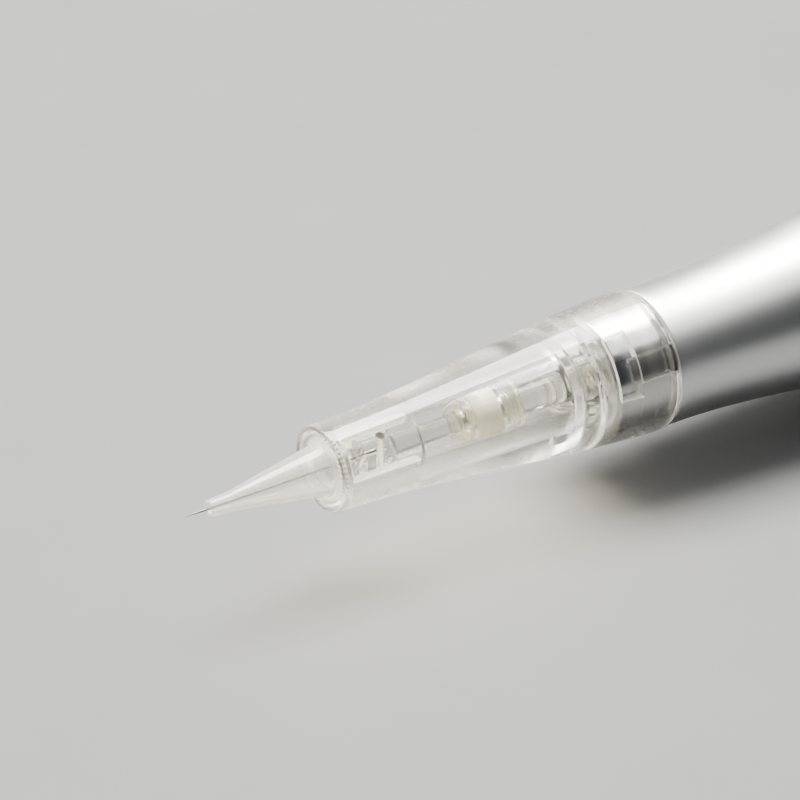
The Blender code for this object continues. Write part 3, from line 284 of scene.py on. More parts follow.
# %% [markdown]
# ## Writing shader maths as sums
# Finishes are built from nodes. Wiring each Math node by hand hides the idea, so one small class
# wraps a socket and turns `1 - mask * 0.4` into the nodes that work it out. Any other node comes
# from one method that takes its type, its settings and what goes into its sockets. The same class
# serves Geometry Nodes, because both kinds of tree share the Math node.

# %% A class for node expressions
class Value:
    """A node's output that can be used in sums."""

    def __init__(self, tree, socket):
        self.tree = tree
        self.socket = socket

    def math(self, operation, *terms):
        """Adds a Math node that works on the terms, in their order."""
        node = self.tree.nodes.new("ShaderNodeMath")
        node.operation = operation
        for slot, value in zip(node.inputs, terms):
            if isinstance(value, Value):
                self.tree.links.new(value.socket, slot)
            else:
                slot.default_value = value
        return Value(self.tree, node.outputs[0])

    def __add__(self, other):
        return self.math("ADD", self, other)

    def __sub__(self, other):
        return self.math("SUBTRACT", self, other)

    def __rsub__(self, other):
        return self.math("SUBTRACT", other, self)

    def __mul__(self, other):
        return self.math("MULTIPLY", self, other)

    def __truediv__(self, other):
        return self.math("DIVIDE", self, other)

    __radd__ = __add__
    __rmul__ = __mul__

    def above(self, other):
        return self.math("GREATER_THAN", self, other)

    def below(self, other):
        return self.math("LESS_THAN", self, other)

    def between(self, low, high):
        """1 where the value is inside the range, 0 elsewhere."""
        return self.above(low) * self.below(high)

    def smallest(self, other):
        return self.math("MINIMUM", self, other)

    def largest(self, other):
        return self.math("MAXIMUM", self, other)

    def size(self):
        return self.math("ABSOLUTE", self)

    def root(self):
        return self.math("SQRT", self)

    def sine(self):
        return self.math("SINE", self)

    def fraction(self):
        return self.math("FRACT", self)


class Tree:
    """A node tree, and the one method that adds any node to it."""

    def __init__(self, tree):
        self.tree = tree

    def node(self, kind, settings=None, inputs=None, output=0):
        """Adds a node, sets it up and feeds its sockets. Returns one output as a Value."""
        node = self.tree.nodes.new(kind)
        for name, setting in (settings or {}).items():
            if name == "stops":
                ramp = node.color_ramp
                while len(ramp.elements) < len(setting):
                    ramp.elements.new(1)
                for stop, (place, colour) in zip(ramp.elements, setting):
                    stop.position = place
                    stop.color = (*colour, 1)
            else:
                setattr(node, name, setting)
        for name, value in (inputs or {}).items():
            slot = node.inputs[name]
            if isinstance(value, Value):
                self.tree.links.new(value.socket, slot)
            else:
                slot.default_value = value
        return Value(self.tree, node.outputs[output])


# %% [markdown]
# ## The finishes
# Each finish is one function. They all read Object coordinates, so a pattern is fixed to its piece
# and keeps its real scale. Bump heights are in metres, as the coordinates are. Only what changes
# over the surface comes from nodes. What is the same all over is set on the shader's own socket.

# %% Finish helpers
MICRON = 1e-6


class Finish(Tree):
    """One material: coordinates, patterns and a shader."""

    def __init__(self, name):
        self.material = bpy.data.materials.new(name)
        self.material.use_nodes = True
        super().__init__(self.material.node_tree)
        self.tree.nodes.clear()
        self.place = self.node("ShaderNodeTexCoord", output="Object")

    def round_axis(self):
        """Distance from the tool's axis, angle round it and place ahead of the rim, in mm."""
        x, y, z = (self.node("ShaderNodeSeparateXYZ", {}, {0: self.place}, name) for name in "XYZ")
        up = z - axis_height
        return (y * y + up * up).root() * MM, y.math("ARCTAN2", y, up), (rim_x - x) * MM

    def stretched(self, scale):
        """Object coordinates multiplied along x, y and z."""
        sockets = {"Vector": self.place, "Scale": scale}
        return self.node("ShaderNodeMapping", {"vector_type": "POINT"}, sockets)

    def noise(self, scale, detail=2.0, roughness=0.5, place=None):
        """Soft random pattern from 0 to 1. The scale is in cycles a metre."""
        sockets = {
            "Vector": place or self.place, "Scale": scale, "Detail": detail, "Roughness": roughness,
        }
        return self.node("ShaderNodeTexNoise", {}, sockets, "Fac")

    def ramp(self, value, *stops):
        """A colour for each value, between stops of (place, colour)."""
        return self.node("ShaderNodeValToRGB", {"stops": stops}, {"Fac": value}, "Color")

    def spread(self, value, low, high, start=0.0, end=1.0):
        """Fits a value's range low to high onto start to end, with soft ends."""
        settings = {"interpolation_type": "SMOOTHSTEP"}
        sockets = {
            "Value": value, "From Min": low, "From Max": high, "To Min": start, "To Max": end,
        }
        return self.node("ShaderNodeMapRange", settings, sockets, "Result")

    def blend(self, share, colour, other):
        """Goes from one colour to another with a share."""
        settings = {"data_type": "RGBA"}
        return self.node("ShaderNodeMix", settings, {0: share, 6: colour, 7: (*other, 1)}, 2)

    def bump(self, height, depth):
        """Raises the surface by height times depth metres, for the Normal socket."""
        return self.node("ShaderNodeBump", {}, {"Height": height, "Distance": depth}, "Normal")

    def principled(self, sockets):
        """Adds the main shader. Three numbers for a colour get their alpha here."""
        for name, value in sockets.items():
            if name == "Base Color" and isinstance(value, tuple):
                sockets[name] = (*value, 1)
        return self.node("ShaderNodeBsdfPrincipled", {}, sockets, "BSDF")

    def end(self, shader):
        """Connects a shader to the material's output."""
        output = self.tree.nodes.new("ShaderNodeOutputMaterial")
        self.tree.links.new(shader.socket, output.inputs["Surface"])
        return self.material


# %% [markdown]
# ## Clear and milky plastics
# The cartridge is moulded in clear polycarbonate. It is real glass-like refraction here, so the
# bore, the needle bar and the far wall bend and shine through one another as in the hand. Lamps
# can't be seen through glass by a path tracer's shadow rays, which would leave the inside black, so
# the usual mend is used: for shadow rays alone the plastic is a pale tinted window.

# %% Plastic finishes
FLANGE_MASK_RADIUS = 2.75
FLANGE_MASK_REAR = 37.0
CRUSH_RIBS = 48
CRUSH_SHARE = 0.55
# The band where the gaps between the crush ribs get painted shade: its radii, and how far it stops
# short of the front.
CRUSH_SHADE_RADII = (3.3, 3.79)
CRUSH_SHADE_EDGE = 0.15


def window_for_lamps(finish, shader, tint):
    """Lets lamps shine through a clear shader, a little dimmed by each surface."""
    path = finish.node("ShaderNodeLightPath", output="Is Shadow Ray")
    pale = finish.node("ShaderNodeBsdfTransparent", {}, {"Color": (*tint, 1)}, "BSDF")
    return finish.node("ShaderNodeMixShader", {}, {0: path, 1: shader, 2: pale}, "Shader")


def clear_polycarbonate(name, *parts, dullest=0.05):
    """Polished moulding with slight waves and haze. Each part is a region with its own skin."""
    finish = Finish(name)
    flow = finish.noise(140, 3, 0.5, finish.stretched((0.35, 1, 1)))
    haze = finish.noise(900, 4, 0.6)
    scuffs = finish.noise(5200, 2, 0.5, finish.stretched((0.12, 1, 1)))
    colour = finish.ramp(flow, (0.3, (0.945, 0.945, 0.915)), (0.7, (0.985, 0.98, 0.955)))
    rough = finish.spread(haze, 0.35, 0.75, dullest * 0.6, dullest)
    rough = rough + finish.spread(scuffs, 0.66, 0.8, 0, 0.1)
    normal = finish.bump(flow, 9 * MICRON)
    for part in parts:
        mask, tone, added_roughness = part(finish)
        rough = rough + mask * added_roughness
        colour = finish.blend(mask, colour, tone)
    shader = finish.principled({
        "Base Color": colour, "Roughness": rough, "Normal": normal, "IOR": 1.57,
        "Transmission Weight": 1.0, "Specular IOR Level": 0.5,
    })
    return finish.end(window_for_lamps(finish, shader, (0.94, 0.935, 0.91)))


def milky_nozzle():
    """Lightly clouded plastic, whitened in the pressed flange, with painted shade between its crush
    ribs.
    """
    finish = Finish("milky_nozzle")
    cloud = finish.noise(420, 4, 0.6)
    grain = finish.noise(9000, 2, 0.5)
    colour = finish.ramp(cloud, (0.3, (0.9, 0.895, 0.86)), (0.75, (0.95, 0.945, 0.915)))
    radius, angle, ahead = finish.round_axis()
    flange = radius.above(FLANGE_MASK_RADIUS) * ahead.above(FLANGE_MASK_REAR)
    turns = (angle / (2 * pi) * CRUSH_RIBS + CRUSH_RIBS).fraction()
    rim = radius.between(*CRUSH_SHADE_RADII) * ahead.below(front("cartridge_body") - CRUSH_SHADE_EDGE)
    grooves = (turns - 0.5).size().below(CRUSH_SHARE / 2) * rim
    colour = finish.blend(flange, colour, (0.97, 0.955, 0.905))
    # The gaps between the crush ribs are coloured near black: painted shade, not a colour of the
    # plastic.
    colour = finish.blend(grooves, colour, (0.22, 0.215, 0.19))
    rough = finish.spread(cloud, 0.3, 0.7, 0.08, 0.15) + flange * 0.22 + grooves * 0.2
    normal = finish.bump(grain, 1.5 * MICRON)
    shader = finish.principled({
        "Base Color": colour, "Roughness": rough, "Normal": normal, "IOR": 1.49,
        "Transmission Weight": 0.85,
    })
    return finish.end(window_for_lamps(finish, shader, (0.88, 0.875, 0.85)))


def silicone_rubber(name, dark, light, clearness):
    """Translucent silicone of the seals: soft sheen, faint clouds and specks of dust on it."""
    finish = Finish(name)
    cloud = finish.noise(700, 4, 0.55)
    dust = finish.noise(7000, 2, 0.5)
    colour = finish.ramp(cloud, (0.3, dark), (0.7, light))
    rough = finish.spread(dust, 0.3, 0.75, 0.05, 0.12)
    normal = finish.bump(dust, 3 * MICRON)
    shader = finish.principled({
        "Base Color": colour, "Roughness": rough, "Normal": normal, "IOR": 1.43,
        "Transmission Weight": clearness,
    })
    return finish.end(window_for_lamps(finish, shader, (0.85, 0.845, 0.8)))


def moulded_plastic(name, dark, light, roughness):
    """Opaque moulded plastic with a fine spark-eroded grain."""
    finish = Finish(name)
    cloud = finish.noise(300, 3, 0.5)
    grain = finish.noise(6500, 3, 0.6)
    colour = finish.ramp(cloud, (0.3, dark), (0.7, light))
    rough = finish.spread(grain, 0.3, 0.7, roughness - 0.07, roughness + 0.08)
    normal = finish.bump(grain, 9 * MICRON)
    return finish.end(finish.principled({
        "Base Color": colour, "Roughness": rough, "Normal": normal, "IOR": 1.49,
    }))


# %% [markdown]
# ## Metals
# The handle is bead-blasted and clear anodised aluminium: an even silver glow with a very fine
# grain, a soft bloom where hands rub it and a few faint hairline scratches. The turned parts show
# rings round the axis, because the cutting tool travels along it. Both come from noise: an even
# one for the blast, and one squeezed along x for the turning rings.

# %% Metal finishes
def satin_aluminium(name, engraved=None):
    """Bead-blasted skin with hairline scratches, a soft bloom of handling and filled marks."""
    finish = Finish(name)
    bloom = finish.noise(55, 3, 0.55)
    blast = finish.noise(7200, 3, 0.65)
    tumble = finish.node("ShaderNodeMapping", {}, {
        "Vector": finish.place, "Rotation": (0.5, 0.9, 0.35), "Scale": (40, 1500, 620),
    })
    hairs = finish.noise(1.0, 2, 0.4, tumble)
    hair_mask = finish.spread(hairs, 0.735, 0.76)
    patches = finish.spread(finish.noise(90, 1, 0.5), 0.5, 0.62)
    scratches = hair_mask * patches
    colour = finish.ramp(bloom, (0.3, (0.7, 0.705, 0.71)), (0.7, (0.78, 0.78, 0.775)))
    rough = finish.spread(bloom, 0.3, 0.7, 0.3, 0.36) + blast * 0.08 - scratches * 0.06
    normal = finish.bump(blast - scratches * 0.08, 6 * MICRON)
    metallic = 1.0
    if engraved:
        marks = engraved(finish)
        colour = finish.blend(marks, colour, (0.03, 0.03, 0.032))
        rough = rough + marks * 0.3
        metallic = 1 - marks
    return finish.end(finish.principled({
        "Base Color": colour, "Roughness": rough, "Normal": normal, "Metallic": metallic,
        "Anisotropic": 0.25,
    }))


def turned_metal(name, dark, light, roughness, ring_depth):
    """Metal from the lathe: fine rings round the axis, brighter and darker bands."""
    finish = Finish(name)
    rings = finish.noise(1.0, 3, 0.7, finish.stretched((9000, 25, 25)))
    bands = finish.noise(1.0, 2, 0.5, finish.stretched((600, 60, 60)))
    colour = finish.ramp(bands, (0.3, dark), (0.7, light))
    rough = finish.spread(bands, 0.3, 0.7, roughness - 0.05, roughness + 0.07)
    normal = finish.bump(rings, ring_depth * MICRON)
    return finish.end(finish.principled({
        "Base Color": colour, "Roughness": rough, "Normal": normal, "Metallic": 1.0,
    }))


def needle_steel():
    """Stainless wire: fine grinding marks along it and a darker tone, as thin bright wire has."""
    finish = Finish("needle_steel")
    grind = finish.noise(1.0, 2, 0.6, finish.stretched((500, 24000, 24000)))
    colour = finish.ramp(grind, (0.3, (0.2, 0.2, 0.2)), (0.7, (0.32, 0.318, 0.31)))
    rough = finish.spread(grind, 0.3, 0.7, 0.12, 0.24)
    return finish.end(finish.principled({
        "Base Color": colour, "Roughness": rough, "Metallic": 1.0,
    }))


def stacked_iron():
    """Armature of thin iron sheets: dark lines between bright edges, along the shaft."""
    finish = Finish("stacked_iron")
    sheets = finish.node("ShaderNodeTexWave", {"bands_direction": "X", "wave_profile": "SAW"}, {
        "Vector": finish.place, "Scale": 640.0, "Distortion": 0.15, "Detail": 1.0,
    }, "Fac")
    stain = finish.noise(500, 3, 0.5)
    line = finish.spread(sheets, 0.72, 0.95)
    grime = stain * 0.6 + line * 0.5
    colour = finish.ramp(grime, (0.2, (0.42, 0.41, 0.4)), (0.8, (0.12, 0.115, 0.11)))
    normal = finish.bump(line, -12 * MICRON)
    return finish.end(finish.principled({
        "Base Color": colour, "Roughness": stain * 0.2 + 0.34, "Normal": normal, "Metallic": 1.0,
    }))


def sintered_ferrite():
    """Dark ceramic magnet: matt, pitted, nearly black."""
    finish = Finish("sintered_ferrite")
    pits = finish.noise(4200, 4, 0.7)
    colour = finish.ramp(pits, (0.35, (0.03, 0.03, 0.033)), (0.7, (0.085, 0.083, 0.085)))
    normal = finish.bump(pits, 14 * MICRON)
    return finish.end(finish.principled({
        "Base Color": colour, "Roughness": pits * 0.2 + 0.5, "Normal": normal, "Metallic": 0.25,
    }))


# %% [markdown]
# ## One finish for each material slot
# The record names a material slot for every CAD node. A table from slot to finish dresses all the
# nodes at once, and the pieces made below take their finishes from the same table.

# %% The finishes, by slot
FINISHES = {
    "clear_plastic": clear_polycarbonate("clear_polycarbonate"),
    "frosted_plastic": milky_nozzle(),
    "silicone": silicone_rubber("clear_silicone", (0.8, 0.8, 0.74), (0.88, 0.875, 0.82), 0.95),
    "satin_aluminium": satin_aluminium("satin_aluminium"),
    "laminated_iron": stacked_iron(),
    "ferrite": sintered_ferrite(),
}
for name, dark, light, roughness, ring_depth in (
    ("turned_aluminium", (0.66, 0.67, 0.68), (0.78, 0.78, 0.78), 0.26, 2.5),
    ("polished_steel", (0.56, 0.56, 0.55), (0.7, 0.7, 0.69), 0.14, 1.2),
    ("bronze", (0.5, 0.31, 0.12), (0.66, 0.43, 0.19), 0.3, 2.5),
    ("copper", (0.72, 0.36, 0.2), (0.85, 0.47, 0.29), 0.24, 2.5),
):
    FINISHES[name] = turned_metal(name, dark, light, roughness, ring_depth)
for name, dark, light, roughness in (
    ("white_acetal", (0.78, 0.78, 0.75), (0.88, 0.88, 0.86), 0.36),
    ("dark_plastic", (0.02, 0.02, 0.022), (0.045, 0.045, 0.048), 0.38),
    ("black_rubber", (0.012, 0.012, 0.013), (0.03, 0.03, 0.03), 0.6),
    ("red_insulation", (0.45, 0.02, 0.015), (0.6, 0.035, 0.03), 0.42),
    ("black_insulation", (0.015, 0.015, 0.015), (0.04, 0.04, 0.04), 0.42),
):
    FINISHES[name] = moulded_plastic(name, dark, light, roughness)
for node in frame["nodes"].values():
    node.data.materials[0] = FINISHES[node.data.materials[0].name]
print("finishes:", len(FINISHES))

# %% [markdown]
# ## Handing a piece over
# A dressed piece takes the place of its CAD node, moves with the same body and takes its finish
# from the record's material slot unless it has its own. One short function says all three.

# %% Taking a node's place
def dress(piece, node, slot, finish=None):
    """Gives a piece its finish and puts it in place of a CAD node."""
    piece.data.materials.clear()
    piece.data.materials.append(finish or FINISHES[slot])
    body = frame["nodes"][node]["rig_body"]
    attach(piece, body)
    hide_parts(node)
    return piece


# %% [markdown]
# ## The clear cartridge body
# One clear moulding: a front ring 9 mm across, a barrel that swells like a trumpet and a 15 mm
# collar with a bayonet. It could be lofted or modelled with a subdivision cage, but it is a turned
# form, so one outline holds all of it, inside and outside. The swell is a formula, the same one as
# in the CAD. Then the two bayonet windows and the two entry grooves are cut with wedges.

# %% Cartridge body
COLLAR_RADIUS = 7.5
COLLAR_BORE = 6.35
COLLAR_DEPTH = 8.6
RING_BED = 5.05
RING_SEAT = 10.6
BARREL_BORE = 2.7
SLEEVE_BED = 3.25
FLANGE_BORE = 3.95
FLANGE_FLOOR = 37.1
SLEEVE_FLOOR = 28.4
MOULDED_EDGE = 0.22
FRONT_RADIUS = 4.52
SWELL_SHARE = 2.6
BODY_STATIONS = 48
body_front = front("cartridge_body")


def barrel_radius(ahead):
    """Outer radius of the cartridge at a place along it."""
    run = 1 - ahead / body_front
    swell = run ** 2 * (SWELL_SHARE - (SWELL_SHARE - 1) * run)
    return FRONT_RADIUS + (COLLAR_RADIUS - FRONT_RADIUS) * swell


outside = [(barrel_radius(ahead), ahead) for ahead in np.linspace(body_front, 0, BODY_STATIONS)]
inside = [
    (COLLAR_BORE, 0), (COLLAR_BORE, COLLAR_DEPTH), (RING_BED, COLLAR_DEPTH), (RING_BED, RING_SEAT),
    (BARREL_BORE, RING_SEAT), (BARREL_BORE, SLEEVE_FLOOR), (SLEEVE_BED, SLEEVE_FLOOR),
    (SLEEVE_BED, FLANGE_FLOOR), (FLANGE_BORE, FLANGE_FLOOR), (FLANGE_BORE, body_front),
]
cartridge = turn("cartridge_shell", eased(outside + inside, MOULDED_EDGE))

# %% Bayonet windows and entry grooves
BAYONET_ANGLE = radians(-56.1)
WINDOW_SPAN = radians(57)
WINDOW_REAR = 4.3
WINDOW_FRONT = 6.9
GROOVE_RADIUS = 7.0
LUG_SPAN = radians(21)
LUG_PLAY = radians(1.5)
GROOVE_PLAY = radians(1.25)
UNLOCK_TWIST = radians(22.5)
OVERRUN = 1.0
window_start = BAYONET_ANGLE - WINDOW_SPAN / 2
lug_end = BAYONET_ANGLE + WINDOW_SPAN / 2 - LUG_PLAY
lug_start = lug_end - LUG_SPAN
windows = wedge_pair(
    "window", COLLAR_BORE - OVERRUN / 2, COLLAR_RADIUS + OVERRUN,
    window_start, window_start + WINDOW_SPAN, WINDOW_REAR, WINDOW_FRONT,
)
entries = wedge_pair(
    "groove", COLLAR_BORE - OVERRUN / 2, GROOVE_RADIUS, lug_start - UNLOCK_TWIST - GROOVE_PLAY,
    lug_end - UNLOCK_TWIST + GROOVE_PLAY, -OVERRUN, (WINDOW_REAR + WINDOW_FRONT) / 2,
)
cartridge = carve(cartridge, *windows, *entries)

# %% [markdown]
# ## Matt and textured parts of the moulding
# A mould doesn't leave the same skin everywhere. The sliding cores that form the windows leave matt
# faces. The barrel's flanks have a fine spark texture, which also softens the hard blotches that
# light makes when it bounces to and fro in a thick polished wall. Their grey-cream tint is painted:
# it stands in for the milky band that light makes in the thick wall where it is seen edge-on. Two
# polished stripes between the flanks keep the needle bar in sight. Painted masks would need
# unwrapping, so each part is a mask worked out from the angle round the axis and the place along
# it.

# %% The body's parts
CUT_BORDER = 0.02
STRIPE_MIDDLE = radians(-54)
FLANK_EDGE = (0.16, 0.26)
TEXTURE_FADE = (2.0, 1.2)


def window_faces(finish):
    """Cut faces of both windows: where they are, their colour and their extra roughness."""
    radius, angle, ahead = finish.round_axis()
    half_turns = ((angle - (window_start - CUT_BORDER)) / pi + 1).fraction()
    across = half_turns.below((WINDOW_SPAN + 2 * CUT_BORDER) / pi)
    along = ahead.between(WINDOW_REAR - CUT_BORDER, WINDOW_FRONT + CUT_BORDER)
    return across * along * radius.above(COLLAR_BORE + CUT_BORDER), (0.96, 0.95, 0.92), 0.5


def flank_texture_and_painted_milkiness(finish):
    """Spark texture of both flanks, tinted with painted milkiness, which fades out before the front
    ring.
    """
    radius, angle, ahead = finish.round_axis()
    from_flank = (((angle - STRIPE_MIDDLE) / pi + 2).fraction() - 0.5).size()
    rear_fade, front_fade = (body_front - reach for reach in TEXTURE_FADE)
    behind_ring = finish.spread(ahead, rear_fade, front_fade, 1, 0)
    # The flanks' grey-cream tone is painted light: the milky band that the thick wall shows
    # edge-on.
    return finish.spread(from_flank, *FLANK_EDGE, 1, 0) * behind_ring, (0.8, 0.79, 0.75), 0.2


body_finish = clear_polycarbonate(
    "collar_polycarbonate", window_faces, flank_texture_and_painted_milkiness, dullest=0.08,
)
dress(cartridge, "cartridge_body", "clear_plastic", body_finish)

# %% [markdown]
# ## The castellated guide ring
# A separate clear ring that centres the needle bar, with eight notches round it so that it can
# spring a little. In the photograph its teeth flash bright inside the collar.

# %% Guide ring
RING_RADIUS = 4.9
RING_BORE = 2.9
RING_NOTCHES = 8
RING_NOTCH_WIDTH = 1.3
RING_NOTCH_DEPTH = 0.9
RING_RIM = 0.4
ring_rear, ring_front = rear("guide_ring"), front("guide_ring")
ring_outline = [
    (RING_BORE, ring_front), (RING_RADIUS, ring_front), (RING_RADIUS, ring_rear),
    (RING_BORE, ring_rear),
]
guide_ring = turn("castellated_ring", eased(ring_outline, MOULDED_EDGE / 2))
half_notch = RING_NOTCH_WIDTH / RING_RADIUS / 2
notches = [
    wedge(f"notch_{number}", RING_RADIUS - RING_NOTCH_DEPTH, RING_RADIUS + OVERRUN,
          middle - half_notch, middle + half_notch, ring_rear - OVERRUN, ring_front - RING_RIM, 6)
    for number, middle in enumerate(np.linspace(0, 2 * pi, RING_NOTCHES, endpoint=False))
]
dress(carve(guide_ring, *notches), "guide_ring", "clear_plastic")

# %% [markdown]
# ## The nozzle, with crush ribs by Geometry Nodes
# The milky nozzle carries the needle's point. Its flange is pressed into the front ring and grips
# with fine teeth round its edge. Teeth repeat by a rule, so Geometry Nodes push the flange's skin
# inwards by the angle round the axis. The same tree later cuts the flutes of the depth dial: only
# its named inputs change.

# %% A tree that cuts equal grooves round a turned piece
GROOVE_INPUTS = ("Count", "Depth", "Groove Share", "Start", "End", "Run Out", "Skin Radius",
                 "Axis Height")


def groove_tree():
    """Moves the outer skin inwards in equal grooves. All lengths are in metres."""
    group = bpy.data.node_groups.new("grooves_round_the_axis", "GeometryNodeTree")
    sockets = [("Geometry", "Geometry"), *((name, "Float") for name in GROOVE_INPUTS),
               ("Finish", "Material")]
    for name, kind in sockets:
        group.interface.new_socket(name, in_out="INPUT", socket_type=f"NodeSocket{kind}")
    group.interface.new_socket("Geometry", in_out="OUTPUT", socket_type="NodeSocketGeometry")
    tree = Tree(group)
    given = {name: tree.node("NodeGroupInput", output=name) for name, kind in sockets}
    position = tree.node("GeometryNodeInputPosition")
    x, y, z = (tree.node("ShaderNodeSeparateXYZ", {}, {0: position}, name) for name in "XYZ")
    up = z - given["Axis Height"]
    radius = (y * y + up * up).root()
    turns = y.math("ARCTAN2", y, up) / (2 * pi) * given["Count"] + given["Count"]
    from_middle = (turns.fraction() - 0.5).size() * 2 / given["Groove Share"]
    profile = (1 - from_middle * from_middle).largest(0)
    in_front = ((x - given["Start"]) / given["Run Out"]).largest(0).smallest(1)
    behind = ((given["End"] - x) / given["Run Out"]).largest(0).smallest(1)
    depth = profile * (in_front * (pi / 2)).sine() * (behind * (pi / 2)).sine() * given["Depth"]
    shrink = 0 - depth * radius.above(given["Skin Radius"]) / radius.largest(MICRON)
    offset = tree.node("ShaderNodeCombineXYZ", {}, {"Y": y * shrink, "Z": up * shrink})
    moved = tree.node("GeometryNodeSetPosition", {}, {
        "Geometry": given["Geometry"], "Offset": offset,
    })
    real = tree.node("GeometryNodeRealizeInstances", {}, {"Geometry": moved})
    done = tree.node("GeometryNodeSetMaterial", {}, {"Geometry": real, "Material": given["Finish"]})
    output = group.nodes.new("NodeGroupOutput")
    group.links.new(done.socket, output.inputs[0])
    return group


GROOVES = groove_tree()
SOCKET_IDS = {item.name: item.identifier for item in GROOVES.interface.items_tree
              if item.in_out == "INPUT"}


def groove(piece, **inputs):
    """Runs the groove tree on a piece and keeps its result as a plain mesh."""
    step = piece.modifiers.new("grooves", "NODES")
    step.node_group = GROOVES
    for name, value in inputs.items():
        step[SOCKET_IDS[name.replace("_", " ")]] = value
    step[SOCKET_IDS["Axis Height"]] = axis_height
    plain(piece)
    return settle(piece)


# %% Nozzle with its flange and sleeve
NOZZLE_REACH = 12.8
MOUTH_RADIUS = 0.84
MOUTH_WALL = 0.3
ROOT_RADIUS = 2.68
NOZZLE_WALL = 0.55
REACH_SHARES = (0.883, 0.805, 0.742, 0.453)
SWELL_SHARES = (0.053, 0.091, 0.166, 0.492)
FLANGE_RADIUS = 3.8
FLANGE_THICKNESS = 0.8
SLEEVE_RADIUS = 3.1
SLEEVE_BORE = 2.4
RIB_SIDES = CRUSH_RIBS * 8
NOZZLE_EDGE = 0.12
sleeve_end = rear("nozzle_tip")
flange_rear = body_front - FLANGE_THICKNESS
cone_skin = []
cone_bore = []
for reach, swell in ((1, 0), *zip(REACH_SHARES, SWELL_SHARES), (0, 1)):
    radius = MOUTH_RADIUS + (ROOT_RADIUS - MOUTH_RADIUS) * swell
    wall = MOUTH_WALL + (NOZZLE_WALL - MOUTH_WALL) * swell
    cone_skin.append((radius, body_front + NOZZLE_REACH * reach))
    cone_bore.append((radius - wall, body_front + NOZZLE_REACH * reach))
seat = [(FLANGE_RADIUS, ahead) for ahead in np.linspace(body_front, flange_rear, 9)]
seat += [
    (SLEEVE_RADIUS, flange_rear), (SLEEVE_RADIUS, sleeve_end), (SLEEVE_BORE, sleeve_end),
    (SLEEVE_BORE, flange_rear - FLANGE_THICKNESS),
]
nozzle_outline = flowing(cone_skin) + seat + flowing(cone_bore)[::-1]
nozzle = turn("nozzle", eased(nozzle_outline, NOZZLE_EDGE), sides=RIB_SIDES)

# %% Crush ribs
CRUSH_DEPTH = 0.24
CRUSH_OVERLAP = 0.05
CRUSH_RUN_OUT = 0.06
CRUSH_SKIN = 0.25
nozzle = groove(
    nozzle, Count=float(CRUSH_RIBS), Depth=CRUSH_DEPTH / MM, Groove_Share=CRUSH_SHARE,
    Start=at(0, 0, body_front + CRUSH_OVERLAP).x, End=at(0, 0, flange_rear - CRUSH_OVERLAP).x,
    Run_Out=CRUSH_RUN_OUT / MM, Skin_Radius=(FLANGE_RADIUS - CRUSH_SKIN) / MM,
    Finish=FINISHES["frosted_plastic"],
)

# %% [markdown]
# The sleeve behind the flange is slit on two sides. That leaves two prongs that spring a little in
# the barrel, and an open view of the needle bar's front end between them.

# %% Slits that leave two prongs
PRONG_GAP = radians(82)
PRONG_GAP_MIDDLE = radians(-54)
PRONG_ROOT = 36.6
prong_gaps = wedge_pair(
    "prong_gap", SLEEVE_BORE - OVERRUN / 2, SLEEVE_RADIUS + OVERRUN / 2,
    PRONG_GAP_MIDDLE - PRONG_GAP / 2, PRONG_GAP_MIDDLE + PRONG_GAP / 2,
    sleeve_end - OVERRUN, PRONG_ROOT,
)
dress(carve(nozzle, *prong_gaps), "nozzle_tip", "frosted_plastic")

# %% [markdown]
# ## Needle, needle bar and seals
# The needle is a 0.25 mm wire, ground to a long point. It is glued into the front boss of a clear
# bar through a small port, whose wall is coloured dark on one side. Behind the boss, soft silicone
# pieces sit on the bar: they seal the cartridge so that nothing runs back into the handle.

# %% Needle
NEEDLE_RADIUS = 0.125
NEEDLE_TAPER = 2.4
POINT_STEPS = 16
needle_rear, needle_tip = rear("needle"), front("needle")
point = [(NEEDLE_RADIUS * run ** 0.55, needle_tip - NEEDLE_TAPER * run)
         for run in np.linspace(0, 1, POINT_STEPS)]
needle_outline = [*point, (NEEDLE_RADIUS, needle_rear), (0, needle_rear)]
needle = turn("needle_wire", needle_outline, closed=False, sides=24)
dress(needle, "needle", "polished_steel", needle_steel())

# %% Needle bar
BOSS_RADIUS = 2.2
BAR_RADIUS = 1.1
TAIL_RADIUS = 1.55
HEAD_RADIUS = 2.4
HEAD_DOME = 1.0
BOSS_REAR = 31.0
BOSS_FRONT = 34.3
HEAD_FRONT = 10.5
BAR_BORE = 0.185
BORE_FLOOR = 31.1
SEAT = 0.3
ribbed_rear = rear("ribbed_seal")
bar_tail = rear("needle_bar")
dome = arc((HEAD_RADIUS - HEAD_DOME, bar_tail + HEAD_DOME), HEAD_DOME, 0, -pi / 2)
bar_outline = [
    (0, BORE_FLOOR), (BAR_BORE, BORE_FLOOR), (BAR_BORE, BOSS_FRONT), (BOSS_RADIUS, BOSS_FRONT),
    (BOSS_RADIUS, BOSS_REAR), (BAR_RADIUS, BOSS_REAR), (BAR_RADIUS, ribbed_rear),
    (TAIL_RADIUS, ribbed_rear - SEAT), (TAIL_RADIUS, HEAD_FRONT), (HEAD_RADIUS, HEAD_FRONT),
    *dome, (0, bar_tail),
]
bar = turn("clear_needle_bar", eased(bar_outline, MOULDED_EDGE, closed=False), closed=False)

# %% Glue port
PORT_RADIUS = 0.45
PORT_PLACE = BOSS_REAR + 0.8
PORT_ANGLE = radians(-20)
PORT_DARK_DEPTH = 1.2
port_reach = BOSS_RADIUS + OVERRUN
port = cross_rod("glue_port", PORT_RADIUS, -port_reach, port_reach, PORT_ANGLE, PORT_PLACE)


